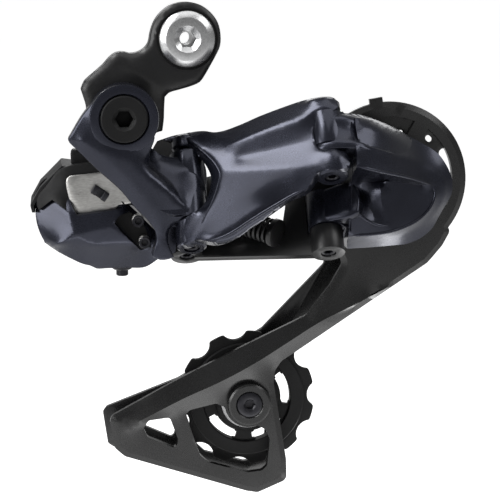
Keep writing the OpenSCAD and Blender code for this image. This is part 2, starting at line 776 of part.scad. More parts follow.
module outer_plate() {
  inner_r = cage_ring_r - cage_ring_w;
  color(black) difference() {
    union() {
      slab(plate_face_y, plate_back_y) union() {
        difference() {
          union() {
            translate(cage_at) circle(cage_ring_r);
            translate(cage_at) rotate(99.7) translate([cage_ring_r - 1, -2.2]) square([2.6, 4.4]);
            soften(2) polygon(concat(
              [cage_at + [-20, -16], cage_at + [-15.5, -28], cage_at + [-19.8, -35.4]],
              [for (i = [len(tail_points()) - 1 : -1 : 0]) tail_points()[i]],
              [cage_at + [14, -28.2], cage_at + [19, -22.3], cage_at + [22.6, -15.5]]
            ));
          }
          translate(cage_at) difference() {
            circle(inner_r);
            for (a = [60, 150, 235, 330]) rotate(a) translate([0, -2.6]) square([inner_r + 1, 5.2]);
            circle(hub_r);
            translate([guide_dx, guide_dz]) circle(pulley_boss_r - 1);
            rotate(232) translate([0, -9]) square([inner_r + 2, 18]);
          }
          tail_windows();
        }
      }
      bar(tension_at, pulley_boss_r, boss_face_y, plate_back_y);
    }
    bar(cage_at, cage_axle_r, plate_face_y - past, plate_back_y + past);
    bar(guide_at, pulley_bolt_r, plate_face_y - past, plate_back_y + past);
    bar(tension_at, pulley_bolt_r, boss_face_y - past, plate_back_y + past);
    bar(tension_at, bolt_cap_r, boss_face_y - past, boss_face_y + bolt_cap_t);
    bar(stop_at, stop_r, plate_face_y - past, plate_back_y + past);
  }
}
bolt_cap_r = 4.4;
bolt_cap_t = 2;
stop_r = 1.5;
stop_angle = 204.5;
stop_reach = 5;
stop_at = cage_at + (cage_ring_r - cage_ring_w / 2) * [cos(stop_angle), sin(stop_angle)];
// Pin that meets the knuckle when the cage springs back
module stop_pin() {
  color(steel) bar(stop_at, stop_r, plate_face_y - stop_reach, plate_back_y);
}
module inner_plate() {
  color(black) difference() {
    slab(inner_face_y, inner_back_y) difference() {
      union() {
        translate(guide_at) circle(13);
        soften(1.5) polygon(concat(
          [guide_at + [-12, -5], cage_at + [-19.6, -30.2]],
          [for (p = [
            [6.1, 23.1], [-23.1, 6.2], [-47.8, -3.1], [-49.2, -5], [-47.6, -16.2], [-45.6, -17.6],
            [-0.7, -29.6], [3.1, -30], [11.5, -26.4], [12.3, -20.1], [8.2, 6.9], [8.8, 11.1], [16, 17]
          ]) tension_at + p],
          [guide_at + [11.5, -6]]
        ));
      }
      tail_windows();
    }
    bar(guide_at, pulley_bolt_r, inner_face_y - past, inner_back_y + past);
    bar(tension_at, pulley_bolt_r, inner_face_y - past, inner_back_y + past);
  }
}
// Pulley bolt along Y with a cap and a hexagonal socket; side is the way its cap faces
module pulley_bolt(at, cap_y, end_y) {
  side = sign(cap_y - end_y);
  low = min(cap_y, end_y);
  high = max(cap_y, end_y);
  color(dark_steel) difference() {
    union() {
      bar(at, pulley_bolt_r, low, high);
      bar(at, bolt_cap_r, side < 0 ? cap_y : cap_y - bolt_cap_t, side < 0 ? cap_y + bolt_cap_t : cap_y);
    }
    translate([at[0], side < 0 ? cap_y - past : cap_y - 2, at[1]]) rotate([-90, 0, 0])
      cylinder(r = 1.7, h = 2 + past, $fn = 6);
  }
}
module guide_bolt() {
  pulley_bolt(guide_at, inner_back_y + bolt_cap_t, plate_face_y + 0.4);
}
module tension_bolt() {
  pulley_bolt(tension_at, boss_face_y, inner_back_y + 0.6);
}

rim_r = valley_r - 5.6;
flange_r = valley_r - 1.2;
hub_web_r = bearing_r + 3.8;
hub_half = 3.4;
bearing_half = 2.5;
flange_half = 2.1;
tooth_gap_r = 4.7;
module pulley(at) {
  color(black) difference() {
    union() {
      slab(chain_line - tooth_t / 2, chain_line + tooth_t / 2) translate(at) difference() {
        circle(tip_r);
        for (i = [0 : teeth - 1]) rotate(i * 360 / teeth + 1.6)
          translate([valley_r + tooth_gap_r, 0]) circle(tooth_gap_r);
        for (i = [0 : 4]) rotate(i * 72 + 14) spoke_window();
      }
      slab(chain_line - flange_half, chain_line + flange_half) translate(at) difference() {
        circle(flange_r);
        circle(rim_r);
      }
      bar(at, hub_web_r, chain_line - hub_half, chain_line + hub_half);
    }
    bar(at, bearing_r, chain_line - hub_half - past, chain_line + hub_half + past);
  }
}
// Gap between two spokes of a pulley, as part of a ring
module spoke_window() {
  difference() {
    intersection() {
      circle(rim_r - 0.4);
      polygon([[0, 0], 40 * [cos(24), sin(24)], 40 * [cos(-24), sin(-24)]]);
    }
    circle(hub_web_r + 1);
  }
}
module bearing(at) {
  color(steel) difference() {
    bar(at, bearing_r, chain_line - bearing_half, chain_line + bearing_half);
    bar(at, pulley_bolt_r + run, chain_line - hub_half, chain_line + hub_half);
  }
}
// Dust caps that carry the pulley between the plates, one on each side
module dust_caps(at) {
  near = bearing_half + gap;
  color("#3b3b3e") difference() {
    union() {
      bar(at, bearing_r - 0.6, plate_back_y, chain_line - near);
      bar(at, bearing_r + 2.2, plate_back_y, chain_line - hub_half - gap);
      bar(at, bearing_r - 0.6, chain_line + near, inner_face_y);
      bar(at, bearing_r + 2.2, chain_line + hub_half + gap, inner_face_y);
    }
    bar(at, pulley_bolt_r, plate_back_y - past, inner_face_y + past);
  }
}
module guide_pulley() { pulley(guide_at); }
module guide_bearing() { bearing(guide_at); }
module guide_caps() { dust_caps(guide_at); }
module tension_pulley() { pulley(tension_at); }
module tension_bearing() { bearing(tension_at); }
module tension_caps() { dust_caps(tension_at); }

mounting_bolt();
retaining_ring();
bracket_link();
stop_screw();
axle_bolt();
axle_bush();
base_knuckle();
motor_housing();
motor_cover();
cover_gasket();
heat_plate();
plate_clip();
motor();
motor_worm();
drive_gear();
gear_shaft();
control_board();
wire_socket();
limit_screws();
limit_springs();
housing_screws();
drain_plug();
outer_link();
outer_pin_rear();
outer_pin_front();
inner_link();
inner_pin_rear();
inner_pin_front();
link_spring();
pin_clips();
pulley_knuckle();
knuckle_bush();
cage_spring();
axle_seal();
cage_axle();
outer_plate();
stop_pin();
inner_plate();
guide_bolt();
tension_bolt();
guide_pulley();
guide_bearing();
guide_caps();
tension_pulley();
tension_bearing();
tension_caps();
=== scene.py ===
import json
import math

import bmesh
import bpy
import numpy as np
from mathutils import Matrix, Vector, geometry


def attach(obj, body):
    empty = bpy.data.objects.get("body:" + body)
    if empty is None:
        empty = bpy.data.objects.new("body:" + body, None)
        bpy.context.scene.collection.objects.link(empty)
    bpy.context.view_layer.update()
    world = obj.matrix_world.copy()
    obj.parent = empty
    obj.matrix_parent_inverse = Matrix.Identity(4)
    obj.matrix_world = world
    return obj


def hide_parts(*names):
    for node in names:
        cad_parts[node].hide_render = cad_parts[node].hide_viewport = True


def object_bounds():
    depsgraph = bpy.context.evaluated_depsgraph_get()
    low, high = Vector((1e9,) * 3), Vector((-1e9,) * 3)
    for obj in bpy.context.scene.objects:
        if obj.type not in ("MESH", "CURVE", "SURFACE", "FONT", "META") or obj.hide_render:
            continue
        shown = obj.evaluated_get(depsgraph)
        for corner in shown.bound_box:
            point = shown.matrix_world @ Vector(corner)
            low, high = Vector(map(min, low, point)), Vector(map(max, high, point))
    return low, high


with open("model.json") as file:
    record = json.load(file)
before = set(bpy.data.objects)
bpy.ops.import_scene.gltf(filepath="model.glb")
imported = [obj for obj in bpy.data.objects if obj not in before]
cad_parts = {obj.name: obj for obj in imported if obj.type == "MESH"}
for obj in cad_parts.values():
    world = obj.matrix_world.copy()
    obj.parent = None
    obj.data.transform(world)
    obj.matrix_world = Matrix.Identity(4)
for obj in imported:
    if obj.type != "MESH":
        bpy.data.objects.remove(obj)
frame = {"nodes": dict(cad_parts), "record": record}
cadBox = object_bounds()
mm = 0.001
print("frame loaded:", len(frame["nodes"]), "nodes")

# the linkage's slanted frame, in millimetres
slantTurn = math.radians(35)
restTurn = math.radians(25.3)
pivotFoot = Vector((0, -21, -65.5))
forward = Vector((1, 0, 0))
inward = Vector((0, math.cos(slantTurn), -math.sin(slantTurn)))
pivotAxis = Vector((0, math.sin(slantTurn), math.cos(slantTurn)))
linkDir = math.cos(restTurn) * forward - math.sin(restTurn) * inward
linkIn = math.sin(restTurn) * forward + math.cos(restTurn) * inward
linkGap = 19
linkLength = 48
innerFoot = pivotFoot + linkGap * inward
axleAt = (-20.8, -24.3)
cageAt = (68.5, -48.03)
guideAt = (63.0, -52.43)
tensionAt = (21.2, -123.53)
toInboard = Vector((0, 1, 0))


def onSide(u, v, d):
    return Vector((u, d, v))


def onOuterLink(u, v, d):
    return pivotFoot + u * linkDir + v * pivotAxis + d * linkIn


def onInnerLink(u, v, d):
    return innerFoot + u * linkDir + v * pivotAxis + d * linkIn


# camera at the photograph's angle
view = {"eye": (-41.894, -513.283, 21.210), "target": (20.515, -5.0, -69.087), "lens": 113.8}
camData = bpy.data.cameras.new("photoCamera")
camData.lens = view["lens"]
camData.sensor_width = 36
camData.clip_start = 0.01
camera = bpy.data.objects.new("photoCamera", camData)
bpy.context.collection.objects.link(camera)
camera.location = Vector(view["eye"]) * mm
camera.rotation_euler = (Vector(view["target"]) - Vector(view["eye"])).to_track_quat("-Z", "Y").to_euler()
bpy.context.scene.camera = camera
bpy.context.scene.view_settings.view_transform = "Standard"


class Wire:
    # a socket's output that takes part in sums
    def __init__(self, finish, socket):
        self.finish = finish
        self.socket = socket

    def _math(self, operation, a, b):
        return self.finish.node("ShaderNodeMath", {"operation": operation}, {0: a, 1: b})

    def __add__(self, other):
        return self._math("ADD", self, other)

    __radd__ = __add__

    def __mul__(self, other):
        return self._math("MULTIPLY", self, other)

    __rmul__ = __mul__


class Finish:
    def __init__(self, name, **fixed):
        self.material = bpy.data.materials.new(name)
        self.material.use_nodes = True
        self.tree = self.material.node_tree
        self.tree.nodes.clear()
        output = self.tree.nodes.new("ShaderNodeOutputMaterial")
        self.shader = self.tree.nodes.new("ShaderNodeBsdfPrincipled")
        self.tree.links.new(self.shader.outputs[0], output.inputs[0])
        for key, value in fixed.items():
            self.put(self.shader.inputs[key.replace("_", " ")], value)
        self.coords = None

    def put(self, socket, value):
        if isinstance(value, Wire):
            self.tree.links.new(value.socket, socket)
        elif isinstance(value, (tuple, list)) and len(value) == 3 and socket.type == "RGBA":
            socket.default_value = (*value, 1)
        else:
            socket.default_value = value

    def node(self, kind, settings=None, sockets=None, out=0):
        made = self.tree.nodes.new(kind)
        for key, value in (settings or {}).items():
            setattr(made, key, value)
        for key, value in (sockets or {}).items():
            self.put(made.inputs[key], value)
        return Wire(self, made.outputs[out])

    def place(self, scale=(1, 1, 1), shift=(0, 0, 0)):
        if self.coords is None:
            self.coords = self.node("ShaderNodeTexCoord", out=3)
        if scale == (1, 1, 1) and shift == (0, 0, 0):
            return self.coords
        return self.node("ShaderNodeMapping", None, {"Vector": self.coords, "Location": shift, "Scale": scale})

    def noise(self, size, detail=2.0, scale=(1, 1, 1), rough=0.5):
        return self.node("ShaderNodeTexNoise", None,
                         {"Vector": self.place(scale), "Scale": 1 / size, "Detail": detail, "Roughness": rough})

    def blend(self, factor, a, b):
        made = self.tree.nodes.new("ShaderNodeMix")
        made.data_type = "RGBA"
        self.put(made.inputs[0], factor)
        self.put(made.inputs[6], a)
        self.put(made.inputs[7], b)
        return Wire(self, made.outputs[2])

    def ease(self, value, low, high, start, end):
        return self.node("ShaderNodeMapRange", {"clamp": True},
                         {"Value": value, "From Min": low, "From Max": high, "To Min": start, "To Max": end})

    def set(self, name, value):
        self.put(self.shader.inputs[name], value)

    def bump(self, height, strength, distance):
        made = self.node("ShaderNodeBump", None, {"Height": height, "Strength": strength, "Distance": distance})
        self.set("Normal", made)


def flakePaint(name, dark, light, rough, flake):
    # metallic lacquer: fine flakes under a clear coat, with slow drifts of tone
    paint = Finish(name, Metallic=0.75, IOR=1.5, Coat_Weight=0.12, Coat_Roughness=0.12)
    grains = paint.noise(0.00022, 1.0)
    drift = paint.noise(0.02, 3.0)
    paint.set("Base Color", paint.blend(paint.ease(grains * 0.55 + drift * 0.45, 0.36, 0.66, 0, 1), dark, light))
    paint.set("Roughness", paint.ease(drift + grains * 0.4, 0.5, 0.9, rough - 0.04, rough + 0.05))
    paint.bump(grains, flake, 0.00003)
    return paint.material


def satinCoat(name, dark, light, rough, grain, level=0.3, size=0.00035):
    # blasted and anodised or powder-coated metal: fine even grain
    coat = Finish(name, Metallic=0.0, Specular_IOR_Level=level)
    grains = coat.noise(size, 2.0)
    clouds = coat.noise(0.016, 4.0)
    coat.set("Base Color", coat.blend(coat.ease(clouds * 0.6 + grains * 0.4, 0.35, 0.65, 0, 1), dark, light))
    coat.set("Roughness", coat.ease(grains + clouds, 0.7, 1.3, rough - 0.06, rough + 0.06))
    coat.bump(grains, grain, 0.00008)
    return coat.material


def turnedSteel(name, dark, light, rough, centre):
    # steel with the fine rings that a lathe leaves round an axis along Y
    steel = Finish(name, Metallic=1.0)
    shift = (-centre[0] * mm, 0, -centre[1] * mm)
    sideX = steel.node("ShaderNodeSeparateXYZ", None, {"Vector": steel.place(shift=shift)})
    sideZ = Wire(steel, sideX.socket.node.outputs[2])
    radius = steel.node("ShaderNodeMath", {"operation": "SQRT"}, {0: sideX * sideX + sideZ * sideZ})
    wobble = steel.noise(0.004, 2.0)
    rings = steel.node("ShaderNodeMath", {"operation": "SINE"}, {0: radius * 26000.0 + wobble * 5.0})
    fine = steel.noise(0.0006, 3.0)
    mask = rings * 0.25 + fine * 0.5 + 0.25
    steel.set("Base Color", steel.blend(steel.ease(mask, 0.2, 0.8, 0, 1), dark, light))
    steel.set("Roughness", steel.ease(mask, 0.1, 0.9, rough - 0.07, rough + 0.08))
    steel.bump(rings, 0.06, 0.00002)
    return steel.material


def plainSteel(name, dark, light, rough, stretch=(1, 1, 1), metallic=1.0):
    # rolled or ground steel: streaks along one direction and a few duller clouds
    steel = Finish(name, Metallic=metallic)
    streaks = steel.noise(0.0012, 3.0, stretch)
    clouds = steel.noise(0.008, 2.0)
    mask = streaks * 0.6 + clouds * 0.4
    steel.set("Base Color", steel.blend(steel.ease(mask, 0.35, 0.65, 0, 1), dark, light))
    steel.set("Roughness", steel.ease(mask, 0.3, 0.7, rough - 0.06, rough + 0.08))
    steel.bump(streaks, 0.08, 0.00003)
    return steel.material


finishes = {
    "anthracite_gloss": flakePaint("anthraciteGloss", (0.013, 0.0142, 0.022), (0.025, 0.027, 0.04), 0.26, 0.10),
    "satin_black": satinCoat("satinBlack", (0.005, 0.005, 0.0053), (0.009, 0.009, 0.0095), 0.34, 0.12, 0.32),
    "cage_black": satinCoat("cageBlack", (0.003, 0.003, 0.0031), (0.006, 0.006, 0.0062), 0.28, 0.06, 0.5, 0.0004),
    "pulley_black": satinCoat("pulleyBlack", (0.005, 0.005, 0.0052), (0.009, 0.009, 0.0092), 0.5, 0.3, 0.14, 0.0005),
    "black_plastic": satinCoat("coverPlastic", (0.006, 0.006, 0.0062), (0.01, 0.01, 0.0105), 0.5, 0.35, 0.16, 0.0006),
    "black_rubber": satinCoat("sealRubber", (0.005, 0.005, 0.005), (0.008, 0.008, 0.008), 0.7, 0.3, 0.15),
    "cap_grey": plainSteel("capGrey", (0.3, 0.3, 0.305), (0.45, 0.45, 0.455), 0.34),
    "black_wire": satinCoat("springBlack", (0.006, 0.006, 0.0065), (0.014, 0.014, 0.0145), 0.34, 0.1, 0.25),
    "satin_silver": turnedSteel("boltSilver", (0.34, 0.342, 0.345), (0.52, 0.522, 0.525), 0.3, (0, 0)),
    "dark_steel": plainSteel("darkSteel", (0.006, 0.006, 0.009), (0.014, 0.014, 0.018), 0.32, metallic=0.5),
    "bright_steel": plainSteel("brightSteel", (0.3, 0.295, 0.285), (0.48, 0.475, 0.46), 0.32, (1, 1, 6)),
    "bronze": plainSteel("bushBronze", (0.3, 0.19, 0.07), (0.42, 0.28, 0.12), 0.42),
    "motor_case": plainSteel("motorCase", (0.3, 0.3, 0.31), (0.42, 0.42, 0.44), 0.34, (6, 1, 1)),
    "gear_brass": plainSteel("gearBrass", (0.5, 0.34, 0.1), (0.66, 0.47, 0.17), 0.28),
    "board_green": satinCoat("boardGreen", (0.008, 0.07, 0.022), (0.016, 0.12, 0.04), 0.4, 0.2, 0.5, 0.0012),
}
slotOf = {part["node"]: part["material_slot"] for part in frame["record"]["subparts"]}
bodyOf = {node: body for body, nodes in frame["record"]["behaviour"]["bodies"].items() for node in nodes}
print("finishes made:", len(finishes))

studio = {"floorDrop": 110, "floorHalf": 6500, "rimHalf": 7500, "rimHeight": 700, "floorGlow": 0.75,
          "glossyGlow": 0.2, "world": 0.32}


def buildStudio(size):
    world = bpy.data.worlds.new("studioWorld")
    bpy.context.scene.world = world
    world.use_nodes = True
    world.node_tree.nodes["Background"].inputs[0].default_value = (1, 1, 1, 1)
    world.node_tree.nodes["Background"].inputs[1].default_value = size["world"]
    low = cadBox[0][2] - size["floorDrop"] * mm
    # a flat floor whose far rim turns up past the horizon
    corners = [(x * half * mm, y * half * mm, low + rise * mm)
               for half, rise in ((size["floorHalf"], 0), (size["rimHalf"], size["rimHeight"]))
               for x, y in ((-1, -1), (1, -1), (1, 1), (-1, 1))]
    mesh = bpy.data.meshes.new("studioFloor")
    mesh.from_pydata(corners, [], [(0, 1, 2, 3)] + [(k, k + 4, (k + 1) % 4 + 4, (k + 1) % 4) for k in range(4)])
    floor = bpy.data.objects.new("studioFloor", mesh)
    bpy.context.collection.objects.link(floor)
    pale = bpy.data.materials.new("paleFloor")
    pale.use_nodes = True
    tree = pale.node_tree
    tree.nodes.clear()
    out = tree.nodes.new("ShaderNodeOutputMaterial")
    matt = tree.nodes.new("ShaderNodeBsdfDiffuse")
    matt.inputs[0].default_value = (0.8, 0.8, 0.8, 1)
    glow = tree.nodes.new("ShaderNodeEmission")
    rays = tree.nodes.new("ShaderNodeLightPath")
    mirrored = tree.nodes.new("ShaderNodeMath")
    mirrored.operation = "MULTIPLY"
    mirrored.inputs[1].default_value = size["glossyGlow"]
    level = tree.nodes.new("ShaderNodeMath")
    level.operation = "MULTIPLY_ADD"
    level.inputs[1].default_value = size["floorGlow"]
    total = tree.nodes.new("ShaderNodeAddShader")
    tree.links.new(rays.outputs["Is Glossy Ray"], mirrored.inputs[0])
    tree.links.new(rays.outputs["Is Camera Ray"], level.inputs[0])
    tree.links.new(mirrored.outputs[0], level.inputs[2])
    tree.links.new(level.outputs[0], glow.inputs["Strength"])
    # the glow lies over the matt floor, so that the shadow stays
    tree.links.new(matt.outputs[0], total.inputs[0])
    tree.links.new(glow.outputs[0], total.inputs[1])
    tree.links.new(total.outputs[0], out.inputs[0])
    mesh.materials.append(pale)


def softBox(name, place, aim, size, watts):
    data = bpy.data.lights.new(name, "AREA")
    data.shape = "RECTANGLE"
    data.size, data.size_y = size[0] * mm, size[1] * mm
    data.energy = watts
    lamp = bpy.data.objects.new(name, data)
    bpy.context.collection.objects.link(lamp)
    lamp.location = Vector(place) * mm
    lamp.rotation_euler = (Vector(aim) - Vector(place)).to_track_quat("-Z", "Y").to_euler()


buildStudio(studio)
# each light's place, aim, size in millimetres and watts
centre = (20, -5, -70)
lights = {
    "ridgeBox": ((-450, -40, 690), centre, (520, 240), 5.2),
    "faceBox": ((-520, -260, 560), centre, (360, 300), 1.1),
    "topBox": ((120, -140, 900), centre, (800, 600), 2.6),
    "rightBox": ((640, -300, 560), centre, (460, 420), 2.6),
    "leftBox": ((-720, -400, 140), centre, (420, 460), 4.8),
    "lowBox": ((60, -112, -236), (30, 0, -105), (260, 50), 0.11),
    "lipBox": ((146, 57, -248), (70, -18, -62), (56, 64), 0.075),
    "backStrip": ((120, 760, 260), centre, (900, 140), 1.2),
}
for name, values in lights.items():
    softBox(name, *values)
print("studio made")


def newObject(name, mesh):
    piece = bpy.data.objects.new(name, mesh)
    bpy.context.collection.objects.link(piece)
    return piece


def meshOf(name, work, outward=True):
    # a working mesh as finished data, its faces turned outwards
    if outward:
        bmesh.ops.recalc_face_normals(work, faces=work.faces)
    mesh = bpy.data.meshes.new(name)
    work.to_mesh(mesh)
    work.free()
    return mesh


def bake(piece):
    # modifiers to a plain mesh
    graph = bpy.context.evaluated_depsgraph_get()
    graph.update()
    plain = bpy.data.meshes.new_from_object(piece.evaluated_get(graph))
    piece.modifiers.clear()
    piece.data = plain
    return piece


def smooth(mesh, degrees):
    mesh.shade_smooth()
    mesh.set_sharp_from_angle(angle=math.radians(degrees))


def soften(piece, width, limit=38, sharp=32):
    bevel = piece.modifiers.new("soften", "BEVEL")
    bevel.width = width * mm
    bevel.segments = 2
    bevel.limit_method = "ANGLE"
    bevel.angle_limit = math.radians(limit)
    bevel.use_clamp_overlap = True
    bake(piece)
    smooth(piece.data, sharp)
    return piece


def settle(piece, nodes, slotName=None, body=None):
    # the piece stands for these nodes, rides with their body and takes their finish
    nodes = [nodes] if isinstance(nodes, str) else list(nodes)
    slotName = slotName or slotOf[nodes[0]]
    piece.data.materials.clear()
    piece.data.materials.append(finishes[slotName])
    for polygon in piece.data.polygons:
        polygon.material_index = 0
    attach(piece, body or bodyOf[nodes[0]])
    if body is None:
        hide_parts(*nodes)
        replaced.update(nodes)
    return piece


replaced = set()


def joined(name, pieces):
    # several pieces as one object
    work = bmesh.new()
    for piece in pieces:
        work.from_mesh(piece.data)
        bpy.data.objects.remove(piece)
    return newObject(name, meshOf(name, work, False))


def drill(piece, at, way, radius, length):
    # a bore cut into a piece
    tool = turned("drillTool", [(0, 0), (radius, 0), (radius, length), (0, length)], at, way, 32)
    cut = piece.modifiers.new("bore", "BOOLEAN")
    cut.operation = "DIFFERENCE"
    cut.solver = "EXACT"
    cut.object = tool
    bake(piece)
    bpy.data.objects.remove(tool)
    return piece


def mergedMesh(node):
    work = bmesh.new()
    work.from_mesh(frame["nodes"][node].data)
    bmesh.ops.remove_doubles(work, verts=work.verts, dist=0.00002)
    bmesh.ops.dissolve_limit(work, angle_limit=math.radians(1.5), verts=work.verts, edges=work.edges)
    return work


def softCopy(node, width, cuts=()):
    # a node's own shape with its edges eased, less what lies beyond each plane
    work = mergedMesh(node)
    for at, way in cuts:
        everything = work.verts[:] + work.edges[:] + work.faces[:]
        cut = bmesh.ops.bisect_plane(work, geom=everything, plane_co=Vector(at) * mm, plane_no=way, clear_outer=True)
        seam = [part for part in cut["geom_cut"] if isinstance(part, bmesh.types.BMEdge)]
        bmesh.ops.triangle_fill(work, edges=seam, use_beauty=True)
    return soften(newObject(node + "Soft", meshOf(node + "Soft", work)), width)


def turned(name, profile, at, way, segments=64, ring=False):
    # a lathe piece; a station is (radius, distance along way) or (half flats, distance, 6) for a hexagon
    axis = Vector(way).normalized()
    sideA = Vector((1, 0, 0)) if abs(axis.x) < 0.9 else Vector((0, 0, 1))
    sideA = (sideA - axis * sideA.dot(axis)).normalized()
    sideB = axis.cross(sideA)
    work = bmesh.new()
    rows = []
    for station in profile:
        radius, along = station[:2]
        middle = Vector(at) + axis * along
        if radius == 0:
            rows.append([work.verts.new(middle * mm)])
            continue
        row = []
        for k in range(segments):
            angle = 2 * math.pi * k / segments
            reach = radius
            if len(station) > 2:
                reach = radius / math.cos(angle % (math.pi / 3) - math.pi / 6)
            row.append(work.verts.new((middle + (sideA * math.cos(angle) + sideB * math.sin(angle)) * reach) * mm))
        rows.append(row)
    pairs = list(zip(rows, rows[1:])) + ([(rows[-1], rows[0])] if ring else [])
    for low, high in pairs:
        for k in range(segments):
            n = (k + 1) % segments
            corners = [low[k % len(low)], low[n % len(low)], high[n % len(high)], high[k % len(high)]]
            face = list(dict.fromkeys(corners))
            if len(face) > 2:
                work.faces.new(face)
    mesh = meshOf(name, work)
    smooth(mesh, 28)
    return newObject(name, mesh)


def lineThrough(points, spacing, closed=False, corner=38):
    # evenly spaced points on a smooth line through (u, v, depth), with corners where it turns sharply
    path = [np.array(point, float) for point in points]
    count = len(path)
    slopes = []
    for i in range(count):
        before = path[i] - path[i - 1] if closed or i else path[1] - path[0]
        after = path[(i + 1) % count] - path[i] if closed or i < count - 1 else path[-1] - path[-2]
        before = before / np.hypot(*before[:2])
        after = after / np.hypot(*after[:2])
        bend = math.degrees(math.acos(max(-1, min(1, float(before[:2] @ after[:2])))))
        slopes.append(None if bend > corner else (before + after) / 2)
    line = []
    for i in range(count if closed else count - 1):
        a, b = path[i], path[(i + 1) % count]
        length = np.hypot(*(b - a)[:2])
        leave = b - a if slopes[i] is None else slopes[i] * length
        arrive = b - a if slopes[(i + 1) % count] is None else slopes[(i + 1) % count] * length
        for t in np.linspace(0, 1, max(1, round(length / spacing)), endpoint=False):
            line.append((2 * t**3 - 3 * t**2 + 1) * a + (t**3 - 2 * t**2 + t) * leave
                        + (3 * t**2 - 2 * t**3) * b + (t**3 - t**2) * arrive)
    return line if closed else line + [path[-1]]


def within(points, loop):
    # which points lie inside a closed loop
    x, y = points[:, 0], points[:, 1]
    inside = np.zeros(len(points), bool)
    for a, b in zip(loop, np.roll(loop, -1, axis=0)):
        crosses = (a[1] > y) != (b[1] > y)
        with np.errstate(divide="ignore", invalid="ignore"):
            inside ^= crosses & (x < (b[0] - a[0]) * (y - a[1]) / (b[1] - a[1]) + a[0])
    return inside


def onLand(points, loops):
    # which points lie inside the first loop and outside the others
    inside = within(points, loops[0])
    for loop in loops[1:]:
        inside &= ~within(points, loop)
    return inside


def nearest(points, others):
    # each point's distance to the nearest of the others
    return np.min(np.hypot(*(points[:, None] - others[None]).transpose(2, 0, 1)), axis=1)


def atDepth(points, depth):
    return [(u, v, depth) for u, v in points]


def around(at, radius, degrees):
    return at[0] + radius * math.cos(math.radians(degrees)), at[1] + radius * math.sin(math.radians(degrees))


def inset(loop, distance):
    # a closed loop moved inwards, less the points that come too near another side
    flat = np.array([point[:2] for point in loop])
    ahead = np.roll(flat, -1, axis=0) - np.roll(flat, 1, axis=0)
    ahead /= np.maximum(np.hypot(*ahead.T), 1e-9)[:, None]
    left = np.stack([-ahead[:, 1], ahead[:, 0]], axis=1)
    area = np.sum(flat[:, 0] * np.roll(flat[:, 1], -1) - np.roll(flat[:, 0], -1) * flat[:, 1])
    moved = flat + left * (distance if area > 0 else -distance)
    clear = nearest(moved, flat) > distance * 0.93
    clear &= within(moved, flat)
    return [tuple(point) for point in moved[clear]]


